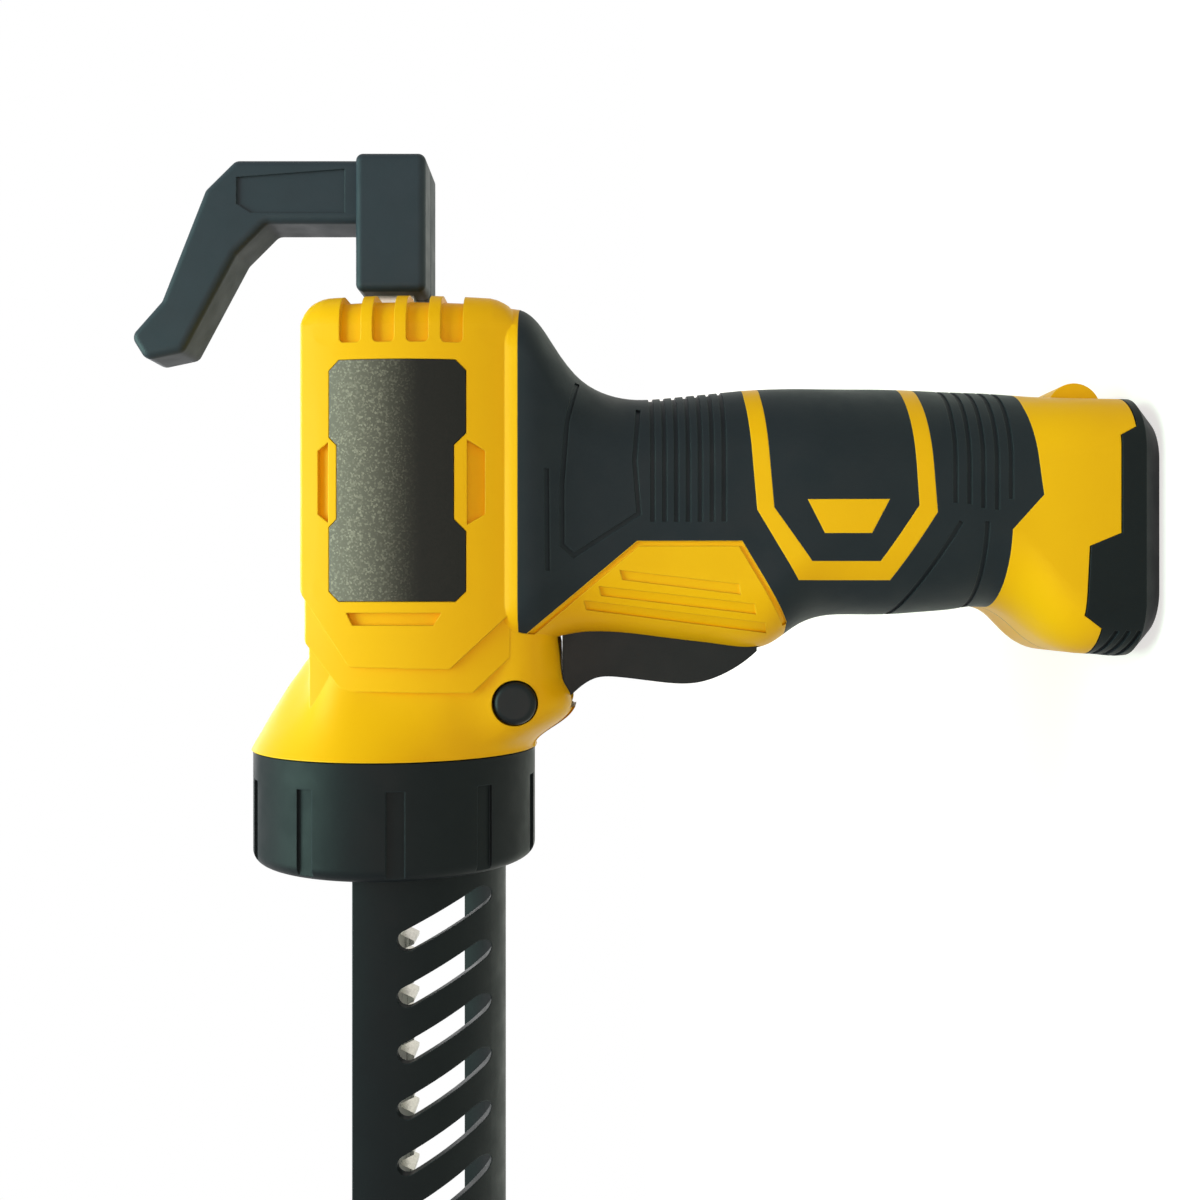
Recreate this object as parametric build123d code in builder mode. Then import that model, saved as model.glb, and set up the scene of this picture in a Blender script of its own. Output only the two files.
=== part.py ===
from build123d import *
import math
import os

# Cordless caulking gun in millimetres. Z points up, the cradle points to -X and the
# origin is the middle of the grip. The plain side of the tool faces -Y.

# Layout
axis_z = 106.0  # rack, collar and cradle axis above the middle of the grip
drive_x = 2.0  # upright axis of the motor and the gearbox
wall = 2.4  # housing wall
rubber = 1.6  # thickness of the moulded grip
gap = 0.3  # air between pieces that move past each other
run = 0.05  # radial play of a shaft in its bore
touch = 0.01  # play between pieces that are pressed together

# Head
head_rear = 46.0
head_front = -42.0
head_top = axis_z + 18.8
head_floor = axis_z - 32.0
head_half = 29.0
head_step = 1.0  # height of each chevron step on the head
head_round = 8.5
head_rear_round = 7.5
head_crown = 75.0  # radius that the sides of the head are crowned to
head_overlap = 8.0  # length of the head that runs into the flare

# Flare that carries the collar, with the chin ahead of the trigger under it
flare_front = -60.5
flare_radius = 34.9
flare_start = -34.0  # where the flare leaves the head
flare_rear = -28.0
flare_levels = 11  # evenly spaced sections that the flare is lofted through
flare_points = 24  # points on half of each section
flare_cover = 1.0  # how far the flare starts under the skin of the head
flare_square = 4  # power of the squarish section that the flare starts from
flare_sweep = (0.7, 1.8)  # power of the rise on top, and what the sides have more
cavity_rear_radius = 12.0  # cone inside the flare
cavity_front_radius = 29.0
chin_half = 24.6  # skin of the chin at the push button
chin_drop = 9.8  # depth of the chin under the flare
chin_angle = 40.0  # half the angle that the chin spans
chin_front = -47.5  # where the chin starts to rise to the rim
chin_rise = 9.5
tab_x = -48.2  # small tab under the chin
tab_drop = 1.7
tab_half = 3.5

# Battery foot
foot_z = -75.0
foot_rim = 5.0
battery_gap = 0.3

# Handle from the head down: height, front, back, half width, corner radius
handle_stations = [
    (head_floor + 5.0, -36.0, 44.0, 24.0, 10.0),
    (head_floor, -35.5, 44.5, 27.0, 11.0),
    (head_floor - 4.0, -34.5, 41.5, 26.4, 12.0),
    (head_floor - 8.0, -33.4, 36.0, 25.2, 13.5),
    (head_floor - 12.0, -32.6, 30.8, 23.8, 15.0),
    (head_floor - 16.0, -32.2, 27.4, 22.9, 16.0),
    (head_floor - 24.0, -32.9, 24.4, 22.3, 17.0),
    (40.0, -34.2, 24.8, 22.2, 17.0),
    (20.0, -36.4, 26.7, 22.9, 17.0),
    (12.5, -34.8, 27.0, 23.6, 17.5),
    (6.0, -29.4, 27.1, 24.1, 18.5),
    (-1.0, -27.9, 27.1, 24.4, 19.5),
    (-15.0, -28.0, 27.1, 24.5, 20.0),
    (-28.0, -27.0, 26.5, 24.4, 20.0),
    (-38.5, -25.8, 26.0, 24.2, 19.0),
    (-45.5, -28.8, 25.1, 24.4, 17.0),
    (-52.0, -35.2, 24.2, 25.0, 14.5),
    (-58.0, -37.2, 23.9, 25.2, 13.5),
    (foot_z + foot_rim, -37.6, 23.6, 25.2, 13.0),
]

handle_levels = 24  # evenly spaced sections that the handle is lofted through

# Rack and its pinion
rack_width = 9.0
rack_height = 10.0
rack_module = 1.5
pressure_angle = 25.0
pinion_teeth = 12
rack_travel = 205.0
hook_front = 50.5
rack_stand = 0.5  # push plate to flare with the rack pulled back
plunger_radius = 22.0
plunger_thickness = 4.0

# Hook
hook_block_half = 10.0
hook_block_height = 17.0
hook_block_rear = 84.0
hook_arm_half = 7.0
hook_round = 1.8

# Cradle and collar
cradle_bore = 25.0
cradle_wall = 2.2
cradle_rim_rise = -5.4  # rim of the trough over its axis
cradle_tilt = 23.5  # turn of the trough to the far side
cradle_length = 218.0
nose_thickness = 4.0
nose_rise = 3.0  # rim of the nose plate over the axis
nozzle_radius = 9.0
slot_width = 4.9
slot_span = 16.9
slot_angle = -64.3
slot_pitch = 12.8
slot_count = 14
slot_first_x = -98.5
slot_drop = 14.6
collar_length = 27.0
collar_radius = 34.5
collar_wall = 1.9
collar_pads = 10
collar_groove = 4.2
collar_groove_depth = 0.8
collar_band = 6.5
seat_length = 5.4
lug_count = 3
lug_angle = 40.0
lug_thickness = 2.6
flange_thickness = 4.0

# Gear train
stage_module = 0.6
sun_teeth = 12
planet_teeth = 18
ring_teeth = sun_teeth + 2 * planet_teeth
planet_count = 3
planet_width = 6.0
planet_pin_radius = 1.5
carrier_thickness = 2.0
gearbox_radius = 17.5
gearbox_floor = 2.0
cover_thickness = 2.5
bevel_module = 1.0
bevel_pinion_teeth = 16
bevel_gear_teeth = 32
bevel_face = 0.25  # tooth length as a share of the cone
output_radius = 3.5
cross_shaft_radius = 4.0
bearing_radius = 8.0
bearing_width = 4.0

# Switch and control board
switch_front = -23.5
switch_back = -12.4
switch_half = 8.0
switch_height = 26.0
switch_z = 34.0
board_y = 20.0
board_thickness = 1.6
board_posts = [(23.0, axis_z - 18.5), (37.0, axis_z - 12.0)]
bearing_y = 17.0

# Motor
motor_radius = 14.0
motor_length = 38.0
can_wall = 1.2
magnet_thickness = 2.0
motor_air = 0.5
motor_shaft_radius = 1.6

# Trigger and button
trigger_half = 10.0
trigger_travel = 6.0
trigger_gap = 0.4
trigger_back = -30.5
button_radius = 5.0
button_x = -48.2
button_z = axis_z - 31.2
button_depth = 13.0
button_travel = 3.0

# Battery
cell_radius = 9.0
cell_length = 65.0
stem_half = 19.8
stem_reach = 18.8
stem_round = 11.0
stem_top = 4.0
groove_depth = 0.5
groove_width = 1.1
latch_z = -60.5
latch_radius = 6.5
latch_half = 7.0
latch_flange = 9.0
latch_travel = 1.5

# Worked out sizes
rack_pitch_z = axis_z - rack_height / 2 + rack_module
pinion_radius = rack_module * pinion_teeth / 2
pinion_z = rack_pitch_z - pinion_radius
bevel_cone = bevel_module * bevel_gear_teeth / 2  # apex to the back of the pinion
bevel_back = bevel_module * bevel_pinion_teeth / 2  # apex to the back of the gear
cover_top = pinion_z - bevel_cone - 5.5
case_top = cover_top - cover_thickness
carrier_2_top = case_top - 0.5
planet_2_top = carrier_2_top - carrier_thickness - 0.5
planet_1_top = planet_2_top - planet_width - 0.6 - carrier_thickness - 0.5
case_floor_z = planet_1_top - planet_width - 0.5 - gearbox_floor
motor_top = case_floor_z
motor_bottom = motor_top - motor_length
rack_front = flare_front - rack_stand - rack_travel
head_sag = ((head_top - head_floor) / 2 - head_round) ** 2 / (2 * head_crown)
room_half = head_half - 2 * head_step - head_sag - wall
room_height = head_top - head_floor - 2 * (head_step + wall)
collar_front = flare_front - collar_length
seat_front = flare_front - seat_length
collar_bore = collar_radius - collar_wall
flange_back = seat_front - gap
flange_front = flange_back - flange_thickness
flange_radius = collar_bore - gap
cradle_radius = cradle_bore + cradle_wall
nose_back = flange_front - cradle_length
barrel_axis = Axis((0, 0, axis_z), (1, 0, 0))
pin_circle = stage_module * (sun_teeth + planet_teeth) / 2


def across(x):
    """The plane square to the rack at x, with its middle on the rack axis."""
    return Plane(origin=(x, 0, axis_z), x_dir=(0, 1, 0), z_dir=(1, 0, 0))


def turned_across(x):
    """The plane square to the rack at x, turned with the trough."""
    turn = math.radians(cradle_tilt)
    return Plane(origin=(x, 0, axis_z), x_dir=(0, math.cos(turn), -math.sin(turn)), z_dir=(1, 0, 0))


def side_prism(points, half):
    """A plate with the given side outline that reaches half to each side of the middle."""
    with BuildPart() as plate:
        with BuildSketch(Plane.XZ):
            Polygon(*points, align=None)
        extrude(amount=half, both=True)
    return plate.part


def side_plane(y):
    """The plane of the side outlines moved to y, read as X and Z."""
    return Plane(origin=(0, y, 0), x_dir=(1, 0, 0), z_dir=(0, -1, 0))


def cross_plane(y):
    """The plane square to the cross shaft at y, facing +Y."""
    return Plane(origin=(drive_x, y, pinion_z), x_dir=(1, 0, 0), z_dir=(0, 1, 0))


def line_prism(points, width, half):
    """A thin plate along a line of the side outline."""
    with BuildPart() as plate:
        with BuildSketch(Plane.XZ):
            with BuildLine():
                Polyline(*points)
            trace(line_width=width)
        extrude(amount=half, both=True)
    return plate.part


def handle_station(z):
    """Front, back, half width and corner radius of the handle at the height z."""
    for upper, lower in zip(handle_stations, handle_stations[1:]):
        if z >= lower[0] - touch:
            share = (upper[0] - z) / (upper[0] - lower[0])
            return [a + share * (b - a) for a, b in zip(upper[1:], lower[1:])]


def handle_body(inset):
    """Near half of the handle, from inside the head to the rim of the foot, drawn in by inset."""
    low = handle_stations[-1][0]
    step = (handle_stations[0][0] - low) / (handle_levels - 1)
    with BuildPart() as body:
        for level in range(handle_levels):
            z = low + level * step
            front, back, half, radius = handle_station(z)
            with BuildSketch(Plane.XY.offset(z)):
                with Locations(((front + back) / 2, 0)):
                    RectangleRounded(back - front - 2 * inset, 2 * (half - inset), radius - inset)
                    Rectangle(4 * half, 2 * half, align=(Align.CENTER, Align.MAX), mode=Mode.INTERSECT)
        loft()
    return body.part


def head_block(half, front, inset=0.0):
    """The boxy part of the head, square to the rack, with crowned sides and a rounded rear."""
    middle_z = (head_top + head_floor) / 2
    with BuildPart() as block:
        with BuildSketch(Plane.YZ.offset(front)):
            with Locations((0, middle_z)):
                RectangleRounded(2 * (half - inset), head_top - head_floor - 2 * inset, head_round - inset)
            for side in (-1, 1):
                with Locations((side * (head_crown - half), middle_z)):
                    Circle(head_crown - inset, mode=Mode.INTERSECT)
        extrude(amount=head_rear - inset - front)
        fillet(block.faces().sort_by(Axis.X)[-1].edges(), head_rear_round - inset)
    return block.part


def flare_reach(angle, x):
    """Distance from the rack axis to the skin of the flare at x, with the angle from straight up."""
    side = math.sin(angle) / (head_half - 2 * head_step - flare_cover)
    top = head_top - axis_z - 2 * head_step if math.cos(angle) > 0 else axis_z - head_floor
    upright = math.cos(angle) / (top - flare_cover)
    reach = (abs(side) ** flare_square + abs(upright) ** flare_square) ** (-1 / flare_square)
    share = max(0.0, (flare_start - x) / (flare_start - flare_front))
    power = flare_sweep[0] + flare_sweep[1] * math.sin(angle) ** 2
    reach += (flare_radius - reach) * share**power
    # Chin: a broad bulge around straight down that fades out before the rim
    around = math.exp(-(((math.pi - angle) / math.radians(chin_angle)) ** 6))
    ahead = max(0.0, (chin_front - x) / chin_rise)
    tab = tab_drop * math.exp(-(((x - tab_x) / tab_half) ** 4))
    return reach + (chin_drop + tab) * around * math.exp(-(ahead**4)) * (1 - share**10)


def flare_body():
    """Near half of the flare and its chin."""
    with BuildPart() as body:
        for level in range(flare_levels):
            x = flare_front + (flare_rear - flare_front) * level / (flare_levels - 1)
            skin = []
            for spot in range(flare_points + 1):
                angle = math.pi * spot / flare_points
                reach = flare_reach(angle, x)
                skin.append((-reach * math.sin(angle), reach * math.cos(angle)))
            skin[0] = (0, skin[0][1])
            skin[-1] = (0, skin[-1][1])
            with BuildSketch(across(x)):
                with BuildLine():
                    Spline(*skin, tangents=[(-1, 0), (1, 0)])
                    Line(skin[-1], skin[0])
                make_face()
        loft()
    return body.part


def tooth_angle(radius, teeth, module, backlash):
    """Half the angle that one involute tooth spans at the given radius."""
    pitch = module * teeth / 2
    base = pitch * math.cos(math.radians(pressure_angle))
    flank = math.acos(min(1.0, base / radius))
    slope = math.radians(pressure_angle)
    rise = math.tan(slope) - slope - (math.tan(flank) - flank)
    return math.pi / (2 * teeth) + rise - backlash / (2 * pitch)


def gear_outline(teeth, module, add, ded, backlash, turn=0.0):
    """Corner points of a spur gear whose first tooth is turned by turn degrees."""
    pitch = module * teeth / 2
    lifts = (-ded, -0.4 * ded, 0.4 * add, add)
    radii = [pitch + lift * module for lift in lifts]
    flank = [(radius, tooth_angle(radius, teeth, module, backlash)) for radius in radii]
    corners = [(r, -a) for r, a in flank] + [(r, a) for r, a in reversed(flank)]
    points = []
    for tooth in range(teeth):
        middle = math.radians(turn) + 2 * math.pi * tooth / teeth
        points += [(r * math.cos(middle + a), r * math.sin(middle + a)) for r, a in corners]
    return points


def bevel_outline(teeth, mate_teeth, reach, turn=0.0):
    """Corner points of a straight bevel gear in the plane at reach from the cone's tip."""
    cone = math.atan2(teeth, mate_teeth)
    length = bevel_module * math.hypot(teeth, mate_teeth) / 2
    flat_teeth = teeth / math.cos(cone)
    flat_pitch = bevel_module * flat_teeth / 2
    flank = []
    for height in (-0.95, -0.4, 0.3, 0.7):
        lift = height * bevel_module
        thick = (flat_pitch + lift) * tooth_angle(flat_pitch + lift, flat_teeth, bevel_module, 0.2)
        angle = cone + lift / length
        flank.append((reach * math.tan(angle), thick / (length * math.sin(angle))))
    corners = [(r, -a) for r, a in flank] + [(r, a) for r, a in reversed(flank)]
    points = []
    for tooth in range(teeth):
        middle = math.radians(turn) + 2 * math.pi * tooth / teeth
        points += [(r * math.cos(middle + a), r * math.sin(middle + a)) for r, a in corners]
    return points


def lug_sector(inner, outer, turn):
    """One bayonet lug in the sketch that is being drawn, turned by turn degrees."""
    Circle(outer)
    Circle(inner, mode=Mode.SUBTRACT)
    wedge = [(0, 0)]
    for side in (-1, 1):
        around = math.radians(turn + side * lug_angle / 2)
        wedge.append((2 * outer * math.cos(around), 2 * outer * math.sin(around)))
    Polygon(*wedge, align=None, mode=Mode.INTERSECT)


def finish(piece, label):
    """Names a finished piece and writes its file."""
    piece.part.label = label
    export_step(piece.part, f"parts/{label}.step")


os.makedirs("parts", exist_ok=True)

# Side outlines, as X and Z
inner_chevron = [
    (60, 60),
    (60, 150),
    (0, head_top + 15),
    (-39.6, axis_z + 6.2),
    (-40.1, axis_z - 16.7),
    (-22, head_floor - 4),
]
outer_chevron = [
    (60, 60),
    (60, 150),
    (-8, head_top + 20),
    (-45.2, axis_z + 7.9),
    (-45.6, axis_z - 21.7),
    (-30, head_floor - 6),
]
plain_front = [
    (60, 60),
    (60, 150),
    (-60, 150),
    (-60, axis_z - 24),
    (-35.7, head_floor),
    (-35.7, 60),
]
grip_outline = [
    (60, head_floor),
    (-33.7, head_floor),
    (-10.7, 46.6),
    (-10.7, 22.3),
    (-29.5, 11.2),
    (-60, 9.0),
    (-60, -39.2),
    (-24.6, -39.2),
    (-8.2, -39.7),
    (-0.2, -46.8),
    (2.6, -46.4),
    (20.6, -44.0),
    (60, -43.0),
]
stripe_outer = [
    (60, 21.2),
    (23.1, 21.2),
    (-3.5, 18.9),
    (-19.8, 9.3),
    (-19.8, -12.3),
    (-4.2, -22.4),
    (23.1, -20.2),
    (60, -20.2),
]
stripe_inner = [
    (60, 17.3),
    (23.1, 17.3),
    (-3.0, 15.0),
    (-15.4, 6.3),
    (-15.4, -9.6),
    (-2.6, -18.2),
    (23.1, -16.4),
    (60, -16.4),
]
badge_outline = [(-1.2, 7.4), (-1.2, -11.4), (-9.0, -7.3), (-9.0, 3.5)]
label_outline = [
    (30.0, axis_z + 8.5),
    (27.7, axis_z + 10.8),
    (12.6, axis_z + 10.8),
    (10.8, axis_z + 9.0),
    (-6.1, axis_z + 9.0),
    (-7.9, axis_z + 10.8),
    (-22.4, axis_z + 10.8),
    (-24.7, axis_z + 8.5),
    (-24.7, axis_z - 18.0),
    (-22.4, axis_z - 20.3),
    (-8.8, axis_z - 20.3),
    (-6.1, axis_z - 17.6),
    (10.8, axis_z - 17.6),
    (13.5, axis_z - 20.3),
    (27.7, axis_z - 20.3),
    (30.0, axis_z - 18.0),
]
label_depth = 0.8
recess_depth = 1.4
label_thickness = 0.9
side_recesses = [
    [(12.0, axis_z - 20.6), (9.6, axis_z - 24.6), (-4.9, axis_z - 24.6), (-7.3, axis_z - 20.6)],
    [(11.5, axis_z + 11.1), (9.6, axis_z + 13.6), (-4.9, axis_z + 13.6), (-6.8, axis_z + 11.1)],
    [(-27.3, axis_z + 6.8), (-27.3, axis_z - 14.9), (-30.2, axis_z - 13.1), (-30.2, axis_z + 5.4)],
]
foot_outline = [
    (60, -68.0),
    (15.5, -68.0),
    (13.5, -64.2),
    (-9.0, -64.2),
    (-12.0, -57.0),
    (-28.0, -56.2),
    (-31.0, -60.5),
    (-60, -60.5),
    (-60, -90),
    (60, -90),
]
trigger_well = [
    (trigger_back + trigger_travel + 0.6, 64.9),
    (-50.4, 64.9),
    (-50.4, 59.0),
    (-60, 50.0),
    (-60, 16.8),
    (trigger_back + trigger_travel + 0.6, 16.8),
]
rib_levels = (14.0, 40.0, 52.0, 64.0)
rib_thickness = 2.0
label_play = 0.15
neck_panel = [
    (26.5, 60.6),
    (16.5, 62.8),
    (2.3, 63.9),
    (-11.8, 63.9),
    (-14.1, 61.2),
    (-4.4, 46.2),
    (8.0, 47.2),
    (20.5, 46.2),
]
neck_line = [(5.7, 67.4), (-17.7, 67.2)]
lower_seams = [
    [(-6.3, -27.9), (-26.7, -15.5), (-40, -7.4)],
    [(-6.3, -33.9), (-25.3, -33.2), (-40, -32.8)],
]
upper_rib_z = 43.0
upper_rib_pitch = 2.75
upper_rib_count = 7
upper_rib_end = -6.3
lower_rib_z = -26.5
lower_rib_pitch = 3.2
lower_rib_ends = (-2.1, -2.4, -3.3, -3.7, -1.2)
frame_slots = [
    [(-17.5, 50.6), (-19.7, 50.0), (-23.1, 22.6), (-20.7, 23.0)],
    [(-21.2, 55.5), (-23.4, 54.9), (-27.7, 18.8), (-25.3, 19.3)],
    [(-24.5, 59.0), (-26.7, 58.4), (-32.2, 15.9), (-29.8, 16.4)],
]
frame_edge = [(-35.5, head_floor + 1.0), (-11.4, 46.3), (-11.4, 22.7), (-30.2, 11.6)]
vent_z = axis_z - 5.6
vent_pitch = 7.7
vent_width = 5.0
vent_round = 1.2
vent_count = 4
vent_front = 34.0
vent_depth = 1.5
vent_inner = 14.0  # half width of the plain middle between the vents
screw_places = [
    (37.0, axis_z + 11.5),
    (-22.0, axis_z + 11.5),
    (36.5, head_floor + 5.5),
    (-26.5, head_floor + 5.0),
    (21.0, 30.0),
    (-25.0, 13.0),
    (-26.5, -50.0),
]
boss_radius = 3.4
post_radius = 2.4
zone_half = 40.0  # reach of the cutting plates to each side
latch_room = 16.0
screw_radius = 1.4
screw_head_radius = 2.8
screw_head_y = 17.0
screw_head_height = 2.4
screw_tip_y = -7.0
screw_slot = 0.8
gear_ded = 1.15
gear_backlash = 0.12
stage_backlash = 0.06
stage_air = 0.5
rack_plain = 8.0
hook_grip = 9.0
hook_pin_radius = 1.5
hook_pin_reach = 7.5  # blind end of the pin on the near side
hook_seam = 0.5
hook_panel_depth = 0.6
hook_panel = [
    (80.9, axis_z + 11.6),
    (78.9, axis_z + 38.0),
    (72.4, axis_z + 38.0),
    (70.2, axis_z + 34.5),
    (70.2, axis_z + 11.6),
]
hook_bend = 2.5
hook_arm = [
    (83.3, axis_z),
    (83.3, axis_z + 38.5),
    (76.0, axis_z + 45.9),
    (48.8, axis_z + 56.6),
    (40.2, axis_z + 64.2),
    (34.4, axis_z + 60.6),
    (36.4, axis_z + 51.2),
    (60.3, axis_z + 38.4),
    (67.9, axis_z + 30.8),
    (67.9, axis_z),
]
plunger_screw_radius = 2.0
plunger_screw_length = 12.0
guide_length = 7.0
guide_width = 24.0
guide_height = 15.0
guide_round = 2.0
bevel_pinion_hub = 3.0
can_end = 2.0
magnet_split = 5.0
rotor_slots = 5
trigger_face = [
    (-49.5, axis_z - 41.7),
    (-46.2, axis_z - 45.1),
    (-43.2, axis_z - 50.0),
    (-43.0, axis_z - 55.0),
    (-44.3, axis_z - 66.0),
    (-44.4, axis_z - 74.0),
    (-42.4, axis_z - 80.4),
    (-36.7, axis_z - 88.7),
]
trigger_round = 2.5
trigger_stem = 10.5
stem_radius = 1.6
spring_radius = 2.9
spring_wire = 0.7
spring_pitch = 1.4
spring_turns = 4
button_stand = 0.6
button_dome = 1.6
board_length = 22.0
board_height = 13.0
lug_height = 2.6
collar_lug = 2.1
collar_round = 3.0
collar_turn = 9.0
cell_shift = -0.8
cell_step = 7.9
cell_play = 0.35
battery_wall = 1.5
foot_slope = 4.5
foot_rib_count = 3
foot_rib_z = -64.2
foot_rib_pitch = 2.6
foot_rib_back = -31.5
foot_rib_rise = 3.0
blade_places = [(-4.0, 0.0), (2.0, 11.0), (2.0, -11.0)]
blade_width = 5.0
blade_thickness = 0.8
blade_depth = 1.0
contact_air = 0.6
block_height = 4.0
block_outline = [
    (-60, stem_top + contact_air),
    (60, stem_top + contact_air),
    (60, stem_top + contact_air + block_height),
    (-60, stem_top + contact_air + block_height),
]
latch_middle_x = 22.0
latch_flange_x = 18.95
latch_flange_thickness = 0.55
latch_flange_height = 14.4
latch_groove = latch_flange_x - latch_travel - gap

# Bodies that the near half of the housing is cut from
handle_outer = handle_body(0)
handle_groove = handle_body(groove_depth)
handle_core = handle_body(rubber)
handle_cavity = handle_body(rubber + wall)
rib_limit = handle_body(rubber + wall / 2)
foot_zone = side_prism(foot_outline, zone_half)

# Side outline of the grip: the stripe and the badge are left open
grip_zone = side_prism(grip_outline, zone_half) - side_prism(stripe_outer, zone_half)
grip_zone += side_prism(stripe_inner, zone_half) - side_prism(badge_outline, zone_half)

# Grooves of the grip: ribs for the fingers, seams of the neck panel and of the lower panel
with BuildPart() as grip_grooves:
    add(line_prism(neck_panel, groove_width, zone_half))
    add(line_prism(neck_line, groove_width, zone_half))
    for seam in lower_seams:
        add(line_prism(seam, groove_width, zone_half))
    for index in range(upper_rib_count):
        level = upper_rib_z - index * upper_rib_pitch
        add(line_prism([(upper_rib_end, level), (60, level)], groove_width, zone_half))
    for index, end in enumerate(lower_rib_ends):
        level = lower_rib_z - index * lower_rib_pitch
        add(line_prism([(end, level), (60, level)], groove_width, zone_half))

# Near half of the grip: a whole layer and a grooved layer on it
outer_layer = handle_outer - handle_groove
inner_layer = handle_groove - handle_core
with BuildPart() as near_grip:
    add(outer_layer)
    add(grip_zone - grip_grooves.part, mode=Mode.INTERSECT)
    add(inner_layer & grip_zone)

# Outer form of the near half
head_end = head_front - head_overlap
with BuildPart() as outer_form:
    add(head_block(head_half, head_end) & side_prism(inner_chevron, zone_half))
    add(head_block(head_half, head_end, head_step) & side_prism(outer_chevron, zone_half))
    add(head_block(head_half, head_end, 2 * head_step) & side_prism(plain_front, zone_half))
    split(bisect_by=Plane.XZ, keep=Keep.TOP)
    add(flare_body())
    add(handle_outer)

with BuildPart() as cavity:
    with BuildSketch(Plane.YZ.offset(flare_start + wall)):
        with Locations((0, (head_top + head_floor) / 2)):
            RectangleRounded(2 * room_half, room_height, head_round - wall)
    extrude(amount=head_rear - flare_start - 2 * wall)
    fillet(cavity.faces().sort_by(Axis.X)[-1].edges(), head_rear_round - wall)
    with BuildSketch(across(flare_front + wall)):
        Circle(cavity_front_radius)
    with BuildSketch(across(flare_rear)):
        Circle(cavity_rear_radius)
    loft(ruled=True)
    split(bisect_by=Plane.XZ, keep=Keep.TOP)
    add(handle_cavity)

# Ribs that hold the motor, the gearbox and the switch
with BuildPart() as ribs:
    for level in rib_levels:
        with BuildSketch(Plane.XY.offset(level)):
            Rectangle(4 * head_rear, 2 * zone_half)
    extrude(amount=rib_thickness)
    add(rib_limit, mode=Mode.INTERSECT)
    with BuildSketch(Plane.XY.offset(case_floor_z)):
        with Locations((drive_x, 0)):
            Circle(gearbox_radius + touch)
    extrude(amount=head_top - case_floor_z, mode=Mode.SUBTRACT)
    with BuildSketch(Plane.XY.offset(motor_bottom)):
        with Locations((drive_x, 0)):
            Circle(motor_radius + touch)
    extrude(amount=motor_length, mode=Mode.SUBTRACT)
    with Locations(((switch_front + switch_back) / 2, 0, switch_z)):
        Box(
            switch_back - switch_front + 2 * touch,
            2 * (switch_half + touch),
            switch_height + 2 * touch,
            mode=Mode.SUBTRACT,
        )

# Bosses for the screws and the seat of a cross shaft bearing
with BuildPart() as bosses:
    with BuildSketch(Plane.XZ):
        with Locations(*screw_places):
            Circle(boss_radius)
    extrude(amount=head_half)
    with BuildSketch(cross_plane(-bearing_y + bearing_width / 2 + gap)):
        Circle(bearing_radius + wall)
    extrude(amount=-head_half / 2)
    add(outer_form.part, mode=Mode.INTERSECT)

# Blind vents that run over the rear edge of the head
with BuildPart() as vents:
    with BuildSketch(Plane.XZ.offset(vent_inner)):
        with Locations((vent_front, vent_z)):
            with GridLocations(1, vent_pitch, 1, vent_count):
                RectangleRounded(
                    2 * (head_rear - vent_front), vent_width, vent_round, align=(Align.MIN, Align.CENTER)
                )
    extrude(amount=zone_half - vent_inner)
    add(head_block(head_half, head_front), mode=Mode.INTERSECT)
    add(head_block(head_half, head_front, vent_depth), mode=Mode.SUBTRACT)

# Pocket of the plate and the small recesses beside it, as deep all over the crowned side
with BuildPart() as label_pocket:
    with BuildSketch(Plane.XZ):
        Polygon(*label_outline, align=None)
        offset(amount=label_play, kind=Kind.INTERSECTION)
    extrude(amount=zone_half)
    add(head_block(head_half, head_end), mode=Mode.INTERSECT)
    add(head_block(head_half, head_end, label_depth), mode=Mode.SUBTRACT)

with BuildPart() as recesses:
    with BuildSketch(Plane.XZ):
        for recess in side_recesses:
            Polygon(*recess, align=None)
    extrude(amount=zone_half)
    add(head_block(head_half, head_end), mode=Mode.INTERSECT)
    add(head_block(head_half, head_end, recess_depth), mode=Mode.SUBTRACT)

# Near half of the housing with what both halves share
with BuildPart() as near_shell:
    add(outer_form.part)
    add(cavity.part, mode=Mode.SUBTRACT)
    add(ribs.part)
    add(bosses.part)
    add((handle_outer - handle_core) & grip_zone, mode=Mode.SUBTRACT)
    add(foot_zone, mode=Mode.SUBTRACT)
    # Room for the trigger and the battery latch
    add(side_prism(trigger_well, trigger_half + trigger_gap), mode=Mode.SUBTRACT)
    with Locations((stem_reach + latch_room / 2, 0, latch_z)):
        Box(latch_room, 2 * (latch_half + gap), 2 * (latch_radius + gap), mode=Mode.SUBTRACT)
    # Way of the rack through the front and the rear wall
    with BuildSketch(across(flare_front), across(head_rear - 2 * wall)):
        Rectangle(rack_width + 4 * gap, rack_height + 4 * gap)
    extrude(amount=2 * wall, mode=Mode.SUBTRACT)
    # Bearing seat
    with BuildSketch(cross_plane(-bearing_y + bearing_width / 2 + 2 * gap)):
        Circle(bearing_radius + touch)
    extrude(amount=-bearing_width - 2 * gap, mode=Mode.SUBTRACT)
    # Pocket of the plate, the small recesses beside it and the vents
    add(label_pocket.part, mode=Mode.SUBTRACT)
    add(recesses.part, mode=Mode.SUBTRACT)
    add(vents.part, mode=Mode.SUBTRACT)
    # Edge groove and slanted grooves of the trigger frame
    add(outer_layer & line_prism(frame_edge, groove_width, zone_half), mode=Mode.SUBTRACT)
    with BuildSketch(Plane.XZ):
        for slot in frame_slots:
            Polygon(*slot, align=None)
    add(outer_layer & extrude(amount=zone_half, mode=Mode.PRIVATE), mode=Mode.SUBTRACT)

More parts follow.
